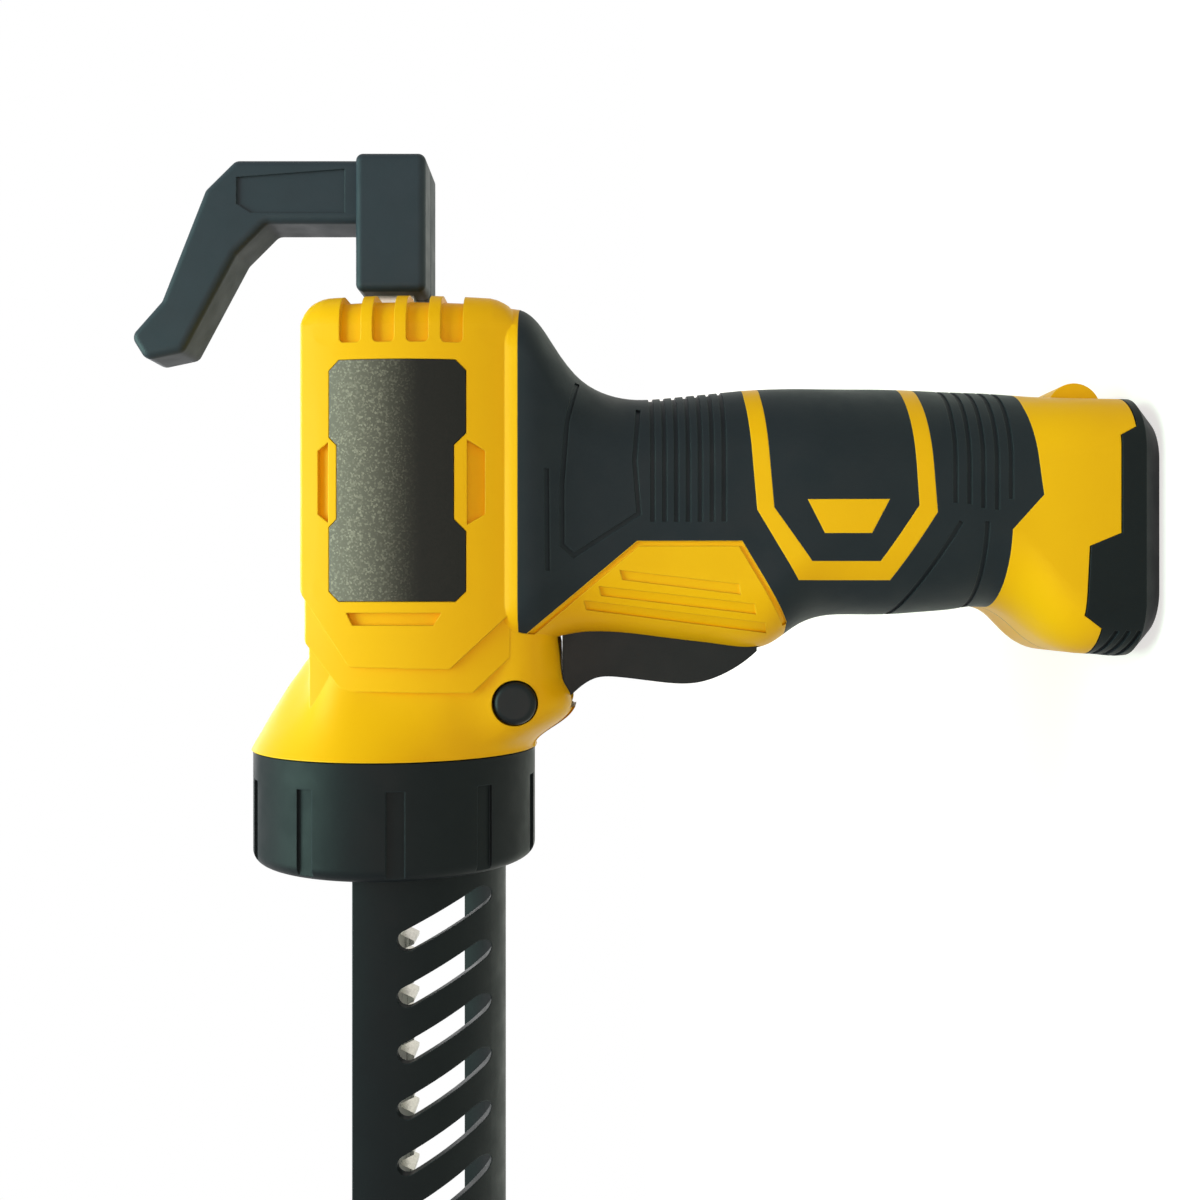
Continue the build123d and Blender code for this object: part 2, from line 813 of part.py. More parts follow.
with BuildPart() as left_housing:
    add(near_shell.part)
    # Posts of the control board
    with BuildSketch(Plane.XZ.offset(board_y)):
        with Locations(*board_posts):
            Circle(post_radius)
    extrude(amount=head_half - wall - board_y)
    # Bore of the push button in the chin
    with BuildSketch(Plane.XZ.offset(chin_half - button_depth - button_travel - gap)):
        with Locations((button_x, button_z)):
            Circle(button_radius + gap)
    extrude(amount=zone_half, mode=Mode.SUBTRACT)
    with BuildSketch(Plane.XZ):
        with Locations(*screw_places):
            Circle(screw_radius + touch)
    extrude(amount=gap - screw_tip_y, mode=Mode.SUBTRACT)
finish(left_housing, "left_housing")

with BuildPart() as right_housing:
    add(mirror(near_shell.part, about=Plane.XZ, mode=Mode.PRIVATE))
    with BuildSketch(Plane.XZ):
        with Locations(*screw_places):
            Circle(screw_radius + touch)
    extrude(amount=-screw_head_y, mode=Mode.SUBTRACT)
    with BuildSketch(Plane.XZ.offset(-screw_head_y)):
        with Locations(*screw_places):
            Circle(screw_head_radius + gap)
    extrude(amount=-zone_half, mode=Mode.SUBTRACT)
finish(right_housing, "right_housing")

finish(near_grip, "left_grip")

with BuildPart() as right_grip:
    add(mirror(near_grip.part, about=Plane.XZ, mode=Mode.PRIVATE))
    with BuildSketch(Plane.XZ):
        with Locations(*screw_places):
            Circle(screw_radius + touch)
    extrude(amount=-screw_head_y, mode=Mode.SUBTRACT)
    with BuildSketch(Plane.XZ.offset(-screw_head_y)):
        with Locations(*screw_places):
            Circle(screw_head_radius + gap)
    extrude(amount=-zone_half, mode=Mode.SUBTRACT)
finish(right_grip, "right_grip")

# Plates in the sides of the head
for name, side in (("left_plate", -1), ("right_plate", 1)):
    with BuildPart() as plate:
        with BuildSketch(Plane.XZ):
            Polygon(*label_outline, align=None)
        extrude(amount=-side * zone_half)
        add(head_block(head_half, head_end, label_depth - label_thickness), mode=Mode.INTERSECT)
        add(head_block(head_half, head_end, label_depth - touch), mode=Mode.SUBTRACT)
    finish(plate, name)

# Screws that hold the two halves together
with BuildPart() as housing_screws:
    with BuildSketch(Plane.XZ.offset(-screw_tip_y)):
        with Locations(*screw_places):
            Circle(screw_radius)
    extrude(amount=screw_tip_y - screw_head_y)
    with BuildSketch(Plane.XZ.offset(-screw_head_y)):
        with Locations(*screw_places):
            Circle(screw_head_radius)
    extrude(amount=-screw_head_height)
    with BuildSketch(Plane.XZ.offset(-screw_head_y - screw_head_height)):
        with Locations(*screw_places):
            Rectangle(screw_slot, 1.3 * screw_head_radius)
            Rectangle(1.3 * screw_head_radius, screw_slot)
    extrude(amount=screw_head_height / 2, mode=Mode.SUBTRACT)
finish(housing_screws, "housing_screws")

# Rack with teeth on its underside and a tooth gap above the pinion's middle
rack_pitch = math.pi * rack_module
tooth_half = rack_pitch / 4 - gear_backlash / 2
tooth_slope = math.tan(math.radians(pressure_angle))
rack_low = axis_z - rack_height / 2
rack_root = rack_pitch_z + gear_ded * rack_module
rack_rear = hook_front + hook_grip
rack_points = [(rack_front, rack_low), (rack_front, axis_z + rack_height / 2)]
rack_points += [(rack_rear, axis_z + rack_height / 2), (rack_rear, rack_low)]
mouth = rack_pitch / 2 - tooth_half + rack_module * tooth_slope
throat = rack_pitch / 2 - tooth_half - gear_ded * rack_module * tooth_slope
first_gap = math.floor((head_rear - gap - drive_x) / rack_pitch)
last_gap = math.ceil((rack_front + rack_plain - drive_x) / rack_pitch)
for index in range(first_gap, last_gap - 1, -1):
    gap_x = drive_x + index * rack_pitch
    rack_points += [(gap_x + mouth, rack_low), (gap_x + throat, rack_root)]
    rack_points += [(gap_x - throat, rack_root), (gap_x - mouth, rack_low)]
with BuildPart() as rack:
    with BuildSketch(Plane.XZ):
        Polygon(*rack_points, align=None)
    extrude(amount=rack_width / 2, both=True)
    with BuildSketch(across(rack_front)):
        Circle(plunger_screw_radius + touch)
    extrude(amount=plunger_screw_length, mode=Mode.SUBTRACT)
    with BuildSketch(Plane.XZ):
        with Locations((hook_front + hook_grip / 2, axis_z)):
            Circle(hook_pin_radius + touch)
    extrude(amount=rack_width, both=True, mode=Mode.SUBTRACT)
finish(rack, "rack")

# Block of the pull hook, on the rear end of the rack
with BuildPart() as hook_block:
    with Locations(((hook_front + hook_block_rear) / 2, 0, axis_z)):
        Box(hook_block_rear - hook_front, 2 * hook_block_half, hook_block_height)
    fillet(hook_block.edges(), hook_round)
    with BuildSketch(Plane.XZ.offset(hook_seam / 2)):
        with Locations(((hook_front + hook_block_rear) / 2, axis_z)):
            Rectangle(hook_block_rear - hook_front, hook_block_height)
            Rectangle(
                hook_block_rear - hook_front - 2 * hook_seam,
                hook_block_height - 2 * hook_seam,
                mode=Mode.SUBTRACT,
            )
    extrude(amount=-hook_seam, mode=Mode.SUBTRACT)

# Bent arm of the pull hook, joined to its block
with BuildPart() as pull_hook:
    with BuildSketch(Plane.XZ) as hook_side:
        Polygon(*hook_arm, align=None)
        fillet(hook_side.vertices(), hook_bend)
    extrude(amount=hook_arm_half, both=True)
    sides = pull_hook.faces().sort_by(Axis.Y)
    fillet(sides[0].edges() + sides[-1].edges(), hook_round)
    for side in (-1, 1):
        with BuildSketch(side_plane(side * hook_arm_half)):
            Polygon(*hook_panel, align=None)
        extrude(amount=side * hook_panel_depth, mode=Mode.SUBTRACT)
    add(hook_block.part)
    with BuildSketch(across(hook_front)):
        Rectangle(rack_width + 2 * touch, rack_height + 2 * touch)
    extrude(amount=hook_grip, mode=Mode.SUBTRACT)
    with BuildSketch(side_plane(-hook_pin_reach)):
        with Locations((hook_front + hook_grip / 2, axis_z)):
            Circle(hook_pin_radius + touch)
    extrude(amount=-hook_pin_reach - hook_block_half, mode=Mode.SUBTRACT)
finish(pull_hook, "pull_hook")

with BuildPart() as hook_pin:
    with BuildSketch(side_plane(touch - hook_pin_reach)):
        with Locations((hook_front + hook_grip / 2, axis_z)):
            Circle(hook_pin_radius)
    extrude(amount=-hook_pin_reach - hook_block_half + gap)
finish(hook_pin, "hook_pin")

# Push plate and its screw at the front end of the rack
with BuildPart() as push_plate:
    with BuildSketch(across(rack_front)):
        Circle(plunger_radius)
        Circle(plunger_screw_radius + touch, mode=Mode.SUBTRACT)
    extrude(amount=-plunger_thickness)
    fillet(push_plate.edges().filter_by(GeomType.CIRCLE).sort_by(SortBy.RADIUS)[-2:], 1.0)
finish(push_plate, "push_plate")

with BuildPart() as plunger_screw:
    with BuildSketch(across(rack_front - plunger_thickness)):
        Circle(2 * plunger_screw_radius)
    extrude(amount=-plunger_screw_radius)
    with BuildSketch(across(rack_front - plunger_thickness)):
        Circle(plunger_screw_radius)
    extrude(amount=plunger_thickness + plunger_screw_length - gap)
finish(plunger_screw, "plunger_screw")

# Guides of the rack against the rear and the front wall of the head
for name, wall_x, length in (
    ("rear_rack_guide", head_rear - wall, -guide_length),
    ("front_rack_guide", flare_front + wall, guide_length),
):
    with BuildPart() as guide:
        with BuildSketch(across(wall_x)):
            RectangleRounded(guide_width, guide_height, guide_round)
            Rectangle(rack_width + gap, rack_height + gap, mode=Mode.SUBTRACT)
        extrude(amount=length)
    finish(guide, name)

# Cross shaft with the rack pinion, the clutch disc and the bevel gear
with BuildPart() as cross_shaft:
    with BuildSketch(Plane.XZ):
        with Locations((drive_x, pinion_z)):
            Circle(cross_shaft_radius)
    extrude(amount=bearing_y + bearing_width / 2, both=True)
finish(cross_shaft, "cross_shaft")

with BuildPart() as rack_pinion:
    with BuildSketch(Plane(origin=(drive_x, 0, pinion_z), x_dir=(1, 0, 0), z_dir=(0, -1, 0))):
        Polygon(*gear_outline(pinion_teeth, rack_module, 1.0, gear_ded, gear_backlash), align=None)
        Circle(cross_shaft_radius + touch, mode=Mode.SUBTRACT)
    extrude(amount=rack_width / 2, both=True)
finish(rack_pinion, "rack_pinion")

bevel_hub = bevel_back + 3.5
with BuildPart() as bevel_gear:
    for reach in (bevel_back * (1 - bevel_face), bevel_back):
        with BuildSketch(cross_plane(reach)):
            turn = 180 / bevel_gear_teeth
            Polygon(*bevel_outline(bevel_gear_teeth, bevel_pinion_teeth, reach, turn), align=None)
    loft(ruled=True)
    with BuildSketch(cross_plane(bevel_back)):
        Circle(0.82 * bevel_cone)
    extrude(amount=bevel_hub - bevel_back)
    with BuildSketch(cross_plane(0)):
        Circle(cross_shaft_radius + run)
    extrude(amount=bevel_hub, mode=Mode.SUBTRACT)
finish(bevel_gear, "bevel_gear")

with BuildPart() as clutch_disc:
    with BuildSketch(cross_plane(bevel_hub + gap)):
        Circle(0.75 * bevel_cone)
        Circle(cross_shaft_radius + touch, mode=Mode.SUBTRACT)
    extrude(amount=bearing_y - bearing_width / 2 - bevel_hub - 4 * gap)
finish(clutch_disc, "clutch_disc")

for name, side in (("left_bearing", -1), ("right_bearing", 1)):
    with BuildPart() as bearing:
        with BuildSketch(cross_plane(side * (bearing_y - bearing_width / 2))):
            Circle(bearing_radius)
            Circle(cross_shaft_radius + run, mode=Mode.SUBTRACT)
        extrude(amount=side * bearing_width)
    finish(bearing, name)

# Two planetary stages under the bevel pinion
stage_tops = (planet_1_top, planet_2_top)
carrier_radius = pin_circle + planet_pin_radius + 2.0
for stage, top in enumerate(stage_tops, start=1):
    for spot, letter in enumerate("abc"):
        around = 360 * spot / planet_count
        middle = Plane.XY.offset(top - planet_width) * Location((drive_x, 0, 0), (0, 0, around))
        with BuildPart() as planet:
            with BuildSketch(middle * Location((pin_circle, 0, 0))):
                turn = 180 / planet_teeth
                Polygon(*gear_outline(planet_teeth, stage_module, 0.9, gear_ded, stage_backlash, turn), align=None)
                Circle(planet_pin_radius + run, mode=Mode.SUBTRACT)
            extrude(amount=planet_width)
        finish(planet, f"planet_{stage}{letter}")

sun_outline = gear_outline(sun_teeth, stage_module, 0.9, gear_ded, stage_backlash)
drive_line = Location((drive_x, 0, 0))
with BuildPart() as sun_gear:
    with BuildSketch(Plane.XY.offset(planet_1_top - planet_width) * drive_line):
        Polygon(*sun_outline, align=None)
        Circle(motor_shaft_radius + touch, mode=Mode.SUBTRACT)
    extrude(amount=planet_width)
finish(sun_gear, "sun_gear")

for stage, top in enumerate(stage_tops, start=1):
    plate_z = top + stage_air
    with BuildPart() as carrier:
        with BuildSketch(Plane.XY.offset(plate_z) * drive_line):
            Circle(carrier_radius)
        extrude(amount=carrier_thickness)
        with BuildSketch(Plane.XY.offset(plate_z) * drive_line):
            with PolarLocations(pin_circle, planet_count):
                Circle(planet_pin_radius)
        extrude(amount=-planet_width)
        if stage == 1:
            with BuildSketch(Plane.XY.offset(plate_z + carrier_thickness) * drive_line):
                Polygon(*sun_outline, align=None)
            extrude(amount=planet_2_top - plate_z - carrier_thickness)
        else:
            with BuildSketch(Plane.XY.offset(plate_z + carrier_thickness) * drive_line):
                Circle(output_radius)
            extrude(amount=pinion_z - bevel_cone * (1 - bevel_face) - plate_z - carrier_thickness)
    finish(carrier, f"carrier_{stage}")

with BuildPart() as bevel_pinion:
    for reach in (bevel_cone, bevel_cone * (1 - bevel_face)):
        with BuildSketch(Plane.XY.offset(pinion_z - reach) * drive_line):
            Polygon(*bevel_outline(bevel_pinion_teeth, bevel_gear_teeth, reach), align=None)
    loft(ruled=True)
    with BuildSketch(Plane.XY.offset(pinion_z - bevel_cone) * drive_line):
        Circle(0.8 * bevel_back)
    extrude(amount=-bevel_pinion_hub)
    with BuildSketch(Plane.XY.offset(pinion_z - bevel_cone - bevel_pinion_hub) * drive_line):
        Circle(output_radius + touch)
    extrude(amount=bevel_cone, mode=Mode.SUBTRACT)
finish(bevel_pinion, "bevel_pinion")

# Gearbox case with the ring teeth, and its cover
with BuildPart() as gearbox_case:
    with BuildSketch(Plane.XY.offset(case_floor_z) * drive_line):
        Circle(gearbox_radius)
    extrude(amount=case_top - case_floor_z)
    with BuildSketch(Plane.XY.offset(case_floor_z + gearbox_floor) * drive_line):
        Polygon(*gear_outline(ring_teeth, stage_module, 1.2, 0.8, -stage_backlash, 180 / ring_teeth), align=None)
    extrude(amount=case_top - case_floor_z, mode=Mode.SUBTRACT)
    with BuildSketch(Plane.XY.offset(case_floor_z) * drive_line):
        Circle(2 * motor_shaft_radius)
    extrude(amount=gearbox_floor, mode=Mode.SUBTRACT)
finish(gearbox_case, "gearbox_case")

with BuildPart() as gearbox_cover:
    with BuildSketch(Plane.XY.offset(case_top) * drive_line):
        Circle(gearbox_radius)
        Circle(output_radius + run, mode=Mode.SUBTRACT)
    extrude(amount=cover_thickness)
finish(gearbox_cover, "gearbox_cover")

# Motor: can, magnets and rotor
magnet_radius = motor_radius - can_wall
rotor_radius = magnet_radius - magnet_thickness - motor_air
with BuildPart() as motor_can:
    with BuildSketch(Plane.XY.offset(motor_bottom) * drive_line):
        Circle(motor_radius)
    extrude(amount=motor_length)
    with BuildSketch(Plane.XY.offset(motor_bottom + can_end) * drive_line):
        Circle(magnet_radius)
    extrude(amount=motor_length - 2 * can_end, mode=Mode.SUBTRACT)
    with BuildSketch(Plane.XY.offset(motor_bottom) * drive_line):
        Circle(motor_shaft_radius + run)
    extrude(amount=motor_length, mode=Mode.SUBTRACT)
finish(motor_can, "motor_can")

with BuildPart() as motor_magnets:
    with BuildSketch(Plane.XY.offset(motor_bottom + 3 * can_end) * drive_line):
        Circle(magnet_radius - touch)
        Circle(magnet_radius - magnet_thickness, mode=Mode.SUBTRACT)
        Rectangle(magnet_split, 2 * motor_radius, mode=Mode.SUBTRACT)
    extrude(amount=motor_length - 5 * can_end)
finish(motor_magnets, "motor_magnets")

with BuildPart() as motor_rotor:
    with BuildSketch(Plane.XY.offset(motor_bottom + 3 * can_end) * drive_line):
        Circle(rotor_radius)
        with PolarLocations(rotor_radius, rotor_slots):
            Rectangle(rotor_radius, magnet_split / 2, mode=Mode.SUBTRACT)
    extrude(amount=motor_length - 5 * can_end)
    with BuildSketch(Plane.XY.offset(motor_bottom + can_end + gap) * drive_line):
        Circle(2.5 * motor_shaft_radius)
    extrude(amount=2 * can_end)
    with BuildSketch(Plane.XY.offset(motor_bottom) * drive_line):
        Circle(motor_shaft_radius)
    extrude(amount=planet_1_top - motor_bottom)
finish(motor_rotor, "motor_rotor")

# Trigger with its stem, the spring on the stem and the switch
with BuildPart() as trigger:
    with BuildSketch(Plane.XZ):
        with BuildLine():
            face = Spline(*trigger_face)
            Polyline(face @ 1, (trigger_back, trigger_face[-1][1]), (trigger_back, trigger_face[0][1]), face @ 0)
        make_face()
    extrude(amount=trigger_half, both=True)
    front = trigger.faces().sort_by(Axis.X)[0]
    fillet(front.edges().filter_by(GeomType.BSPLINE), trigger_round)
    with BuildSketch(Plane.YZ.offset(trigger_back)):
        with Locations((0, switch_z)):
            Circle(stem_radius)
    extrude(amount=trigger_stem)
finish(trigger, "trigger")

with BuildPart() as switch:
    with Locations(((switch_front + switch_back) / 2, 0, switch_z)):
        Box(switch_back - switch_front, 2 * switch_half, switch_height)
    chamfer(switch.edges().filter_by(Axis.Y), 1.0)
    with BuildSketch(Plane.YZ.offset(switch_front)):
        with Locations((0, switch_z)):
            Circle(spring_radius + spring_wire + gap)
    extrude(amount=trigger_travel + 2 * gap, mode=Mode.SUBTRACT)
    with BuildSketch(Plane.YZ.offset(switch_front)):
        with Locations((0, switch_z)):
            Circle(stem_radius + gap)
    extrude(amount=trigger_back + trigger_stem + trigger_travel + gap - switch_front, mode=Mode.SUBTRACT)
finish(switch, "switch")


def coil_point(turn):
    """A point on the middle line of the trigger spring after the given number of turns."""
    around = 2 * math.pi * turn
    run_x = trigger_back + spring_wire + turn * spring_pitch
    return (run_x, spring_radius * math.cos(around), switch_z + spring_radius * math.sin(around))


with BuildPart() as trigger_spring:
    with BuildLine() as coil:
        for quarter in range(0, 4 * spring_turns, 2):
            ThreePointArc(*[coil_point((quarter + step) / 4) for step in (0, 1, 2)])
    with BuildSketch(Plane(origin=coil_point(0), z_dir=coil.edges()[0] % 0)):
        Circle(spring_wire / 2)
    sweep()
finish(trigger_spring, "trigger_spring")
print("trigger spring coil gap", round(spring_pitch - spring_wire, 2))

# Push button in the chin, with a domed face
with BuildPart() as push_button:
    with BuildSketch(Plane.XZ.offset(chin_half - button_depth)):
        with Locations((button_x, button_z)):
            Circle(button_radius)
    extrude(amount=button_depth + button_stand)
    fillet(push_button.edges().sort_by(Axis.Y)[0], button_dome)
finish(push_button, "push_button")

# Control board with a few parts on it
with BuildPart() as control_board:
    with BuildSketch(Plane.XZ.offset(board_y - board_thickness)):
        with Locations(((board_posts[0][0] + board_posts[1][0]) / 2, (board_posts[0][1] + board_posts[1][1]) / 2)):
            Rectangle(board_length, board_height)
    extrude(amount=board_thickness)
    with BuildSketch(Plane.XZ.offset(board_y - board_thickness)):
        with Locations((board_posts[0][0], board_posts[1][1])):
            Circle(3.0)
        with Locations((board_posts[1][0], board_posts[0][1])):
            Rectangle(5.0, 6.0)
    extrude(amount=-4.0)
finish(control_board, "control_board")

# Seat ring of the cradle, with bayonet lugs
lug_radius = collar_bore - gap
seat_radius = lug_radius - lug_height
with BuildPart() as cradle_seat:
    with BuildSketch(across(flare_front)):
        Circle(seat_radius)
        Circle(plunger_radius + 2, mode=Mode.SUBTRACT)
    extrude(amount=-seat_length)
    for index in range(lug_count):
        with BuildSketch(across(seat_front)):
            lug_sector(seat_radius - 1, lug_radius, 360 * index / lug_count)
        extrude(amount=lug_thickness)
finish(cradle_seat, "cradle_seat")

# Collar with grip pads outside and bayonet lugs inside
collar_back = flare_front - gap
shoulder = flange_front - gap
with BuildPart() as collar:
    with BuildSketch(across(collar_back)):
        Circle(collar_radius)
    extrude(amount=collar_front - collar_back)
    fillet(collar.edges().sort_by(Axis.X)[0], collar_round)
    with BuildSketch(across(collar_back)):
        Circle(collar_bore)
    extrude(amount=shoulder - collar_back, mode=Mode.SUBTRACT)
    with BuildSketch(across(collar_back)):
        Circle(cradle_radius + gap)
    extrude(amount=collar_front - collar_back, mode=Mode.SUBTRACT)
    with BuildSketch(across(collar_front)):
        with PolarLocations(collar_radius, collar_pads, start_angle=collar_turn):
            Rectangle(2 * collar_groove_depth, collar_groove)
    extrude(amount=collar_length - collar_band, mode=Mode.SUBTRACT)
    for index in range(lug_count):
        with BuildSketch(across(collar_back)):
            lug_sector(seat_radius + gap, collar_bore + collar_wall / 2, 360 * index / lug_count)
        extrude(amount=-collar_lug)
finish(collar, "collar")

# Cradle: flange, open trough with slanted slots, and nose plate
with BuildPart() as barrel:
    with BuildSketch(turned_across(nose_back)):
        Circle(cradle_radius)
        Circle(cradle_bore, mode=Mode.SUBTRACT)
        with Locations((0, cradle_rim_rise)):
            Rectangle(4 * cradle_radius, 2 * cradle_radius, align=(Align.CENTER, Align.MIN), mode=Mode.SUBTRACT)
    extrude(amount=flange_back - nose_back)
    with BuildSketch(Plane.XZ):
        with Locations((slot_first_x - (slot_count - 1) * slot_pitch / 2, axis_z - slot_drop)):
            with GridLocations(slot_pitch, 1, slot_count, 1):
                SlotCenterToCenter(slot_span, slot_width, rotation=slot_angle)
    extrude(amount=2 * cradle_radius, mode=Mode.SUBTRACT)
    with BuildSketch(across(flange_front)):
        Circle(flange_radius)
        Circle(cradle_bore, mode=Mode.SUBTRACT)
    extrude(amount=flange_thickness)
    with BuildSketch(turned_across(nose_back - nose_thickness)):
        Circle(cradle_radius)
        with Locations((0, nose_rise)):
            Rectangle(4 * cradle_radius, 2 * cradle_radius, align=(Align.CENTER, Align.MIN), mode=Mode.SUBTRACT)
        Circle(nozzle_radius, mode=Mode.SUBTRACT)
        Rectangle(2 * nozzle_radius, cradle_radius, align=(Align.CENTER, Align.MIN), mode=Mode.SUBTRACT)
    extrude(amount=nose_thickness)
finish(barrel, "barrel")

# Battery: foot, stem with bores for the cells, and a groove for the latch
near_foot = handle_outer & side_prism([(x, z - battery_gap) for x, z in foot_outline], zone_half)
for index in range(foot_rib_count):
    level = foot_rib_z - index * foot_rib_pitch
    rib = line_prism([(foot_rib_back, level), (-zone_half, level + foot_rib_rise)], groove_width, zone_half)
    near_foot -= outer_layer & rib
cell_side = cell_radius + cell_play / 2
cell_places = [
    (cell_shift - cell_step, cell_side),
    (cell_shift - cell_step, -cell_side),
    (cell_shift + cell_step, 0),
]
cell_bottom = stem_top - battery_wall - cell_length
foot_top_front, foot_top_back, foot_top_half, foot_top_radius = handle_station(foot_z + foot_rim)
with BuildPart() as battery_case:
    add(near_foot)
    mirror(about=Plane.XZ)
    with BuildSketch(Plane.XY.offset(foot_z)):
        with Locations(((foot_top_front + foot_top_back) / 2, 0)):
            RectangleRounded(
                foot_top_back - foot_top_front - 2 * foot_slope,
                2 * (foot_top_half - foot_slope),
                foot_top_radius - foot_slope / 2,
            )
    with BuildSketch(Plane.XY.offset(foot_z + foot_rim)):
        with Locations(((foot_top_front + foot_top_back) / 2, 0)):
            RectangleRounded(foot_top_back - foot_top_front, 2 * foot_top_half, foot_top_radius)
    loft(ruled=True)
    with BuildSketch(Plane.XY.offset(foot_z + foot_rim)):
        RectangleRounded(2 * stem_reach, 2 * stem_half, stem_round)
    extrude(amount=stem_top - foot_z - foot_rim)
    with BuildSketch(Plane.XY.offset(cell_bottom)):
        with Locations(*cell_places):
            Circle(cell_radius + cell_play)
    extrude(amount=cell_length + gap, mode=Mode.SUBTRACT)
    with Locations((latch_groove, 0, latch_z - latch_flange_height / 2 - gap)):
        Box(
            stem_reach,
            2 * (latch_flange + gap),
            stem_top - foot_z,
            align=(Align.MIN, Align.CENTER, Align.MIN),
            mode=Mode.SUBTRACT,
        )
    with BuildSketch(Plane.XY.offset(stem_top)):
        with Locations(*blade_places):
            Rectangle(blade_width + 2 * gap, blade_thickness + 2 * gap)
    extrude(amount=-blade_depth - gap, mode=Mode.SUBTRACT)
finish(battery_case, "battery_case")

with BuildPart() as battery_cells:
    with BuildSketch(Plane.XY.offset(cell_bottom)):
        with Locations(*cell_places):
            Circle(cell_radius)
    extrude(amount=cell_length)
finish(battery_cells, "battery_cells")

# Latch: a half round bump on the back with a flange behind the wall
with BuildPart() as battery_latch:
    with BuildSketch(Plane.XZ):
        with Locations((latch_middle_x, latch_z)):
            Circle(latch_radius)
            Rectangle(2 * latch_radius, 2 * latch_radius, align=(Align.MAX, Align.CENTER), mode=Mode.SUBTRACT)
        with Locations((latch_middle_x, latch_z)):
            Rectangle(latch_middle_x - latch_flange_x, 2 * latch_radius, align=(Align.MAX, Align.CENTER))
    extrude(amount=latch_half, both=True)
    with Locations((latch_flange_x, 0, latch_z)):
        Box(
            latch_flange_thickness,
            2 * latch_flange,
            latch_flange_height,
            align=(Align.MIN, Align.CENTER, Align.CENTER),
        )
finish(battery_latch, "battery_latch")

# Contact block across the handle above the battery
near_block = handle_body(rubber + wall + run) & side_prism(block_outline, zone_half)
with BuildPart() as contact_block:
    add(near_block)
    mirror(about=Plane.XZ)
    with BuildSketch(Plane.XY.offset(stem_top + contact_air)):
        with Locations(*blade_places):
            Rectangle(blade_width, blade_thickness)
    extrude(amount=-contact_air - blade_depth)
finish(contact_block, "contact_block")
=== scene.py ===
"""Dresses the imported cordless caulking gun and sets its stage, light and camera."""

import math

import bmesh
import bpy
from bpy.props import FloatProperty, FloatVectorProperty, PointerProperty
from mathutils import Matrix, Vector


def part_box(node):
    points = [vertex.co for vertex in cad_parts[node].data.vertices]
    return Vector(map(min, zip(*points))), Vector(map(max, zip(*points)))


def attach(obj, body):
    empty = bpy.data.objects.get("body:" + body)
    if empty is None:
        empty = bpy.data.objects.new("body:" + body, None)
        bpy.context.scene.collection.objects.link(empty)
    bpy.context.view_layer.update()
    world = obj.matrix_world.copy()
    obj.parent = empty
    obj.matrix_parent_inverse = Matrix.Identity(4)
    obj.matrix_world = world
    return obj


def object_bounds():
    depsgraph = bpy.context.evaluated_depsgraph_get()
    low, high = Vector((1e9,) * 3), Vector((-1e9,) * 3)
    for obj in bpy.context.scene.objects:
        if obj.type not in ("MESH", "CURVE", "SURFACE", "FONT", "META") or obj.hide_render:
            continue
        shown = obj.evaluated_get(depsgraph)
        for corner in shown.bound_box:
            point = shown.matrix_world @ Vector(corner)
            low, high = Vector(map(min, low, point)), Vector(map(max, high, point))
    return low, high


bl_info = {
    "name": "Cordless caulking gun",
    "version": (1, 0, 0),
    "blender": (4, 5, 0),
    "location": "View3D > Sidebar > Caulking gun",
    "description": "Finishes, trim, stage and camera for a packed cordless caulking gun",
    "category": "Object",
}

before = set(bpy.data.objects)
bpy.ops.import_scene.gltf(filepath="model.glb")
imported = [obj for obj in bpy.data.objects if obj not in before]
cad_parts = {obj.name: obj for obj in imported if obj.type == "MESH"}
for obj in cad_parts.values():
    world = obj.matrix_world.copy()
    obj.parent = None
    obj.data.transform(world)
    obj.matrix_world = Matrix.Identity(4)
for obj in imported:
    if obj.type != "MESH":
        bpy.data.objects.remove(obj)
CAD_LOW, CAD_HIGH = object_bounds()

MM = 0.001

# Axes of the two screws whose heads stand above the shell: along the barrel, then up
GRIP_SCREW = (21 * MM, 30 * MM)
FRAME_SCREW = (-25 * MM, 13 * MM)
TOWER_STEPS = 48
# Turn between two faces of a tower from which their edge stays sharp
TOWER_SHARP = math.radians(40)
MERGE_DISTANCE = MM / 1000

# Rays that each rounded edge takes
EDGE_SAMPLES = 4
# Range that most of Blender's noise keeps to
NOISE_LOW = 0.3
NOISE_HIGH = 0.7
# Scale of a metal's pattern along its streaks, which draws them out
STREAK_STRETCH = 0.03
# Lower share of the side plate that the painted highlight doesn't reach
PLATE_NO_HIGHLIGHT_SHARE = 0.3
# Random tone of a cell from which it shows as a flake, and at which it shows in full
FLAKE_START = 0.55
FLAKE_FULL = 0.95

# Share of the floor's fade that keeps its full shade
FLOOR_SHADE_SHARE = 0.3
# Width in millimetres, as Blender's cameras take it
SENSOR_WIDTH = 36.0
NEAREST_SEEN = 10 * MM


def linear(code):
    """Linear red, green, blue and alpha of an sRGB hex colour."""
    channels = [int(code[place:place + 2], 16) / 255 for place in (0, 2, 4)]
    low = [value / 12.92 for value in channels]
    high = [((value + 0.055) / 1.055) ** 2.4 for value in channels]
    return tuple(b if c > 0.04045 else a for a, b, c in zip(low, high, channels)) + (1.0,)


WHITE = linear("FFFFFF")


def per_metre(size):
    """Texture scale whose features are about size millimetres across."""
    return 1.0 / (size * MM)


def add_node(owner, kind, inputs=None, **settings):
    """Adds a node to a material or world, sets its properties, and sets or links its inputs."""
    tree = owner.node_tree
    made = tree.nodes.new(kind)
    for name, value in settings.items():
        setattr(made, name, value)
    for name, value in (inputs or {}).items():
        if isinstance(value, bpy.types.NodeSocket):
            tree.links.new(value, made.inputs[name])
        else:
            made.inputs[name].default_value = value
    return made


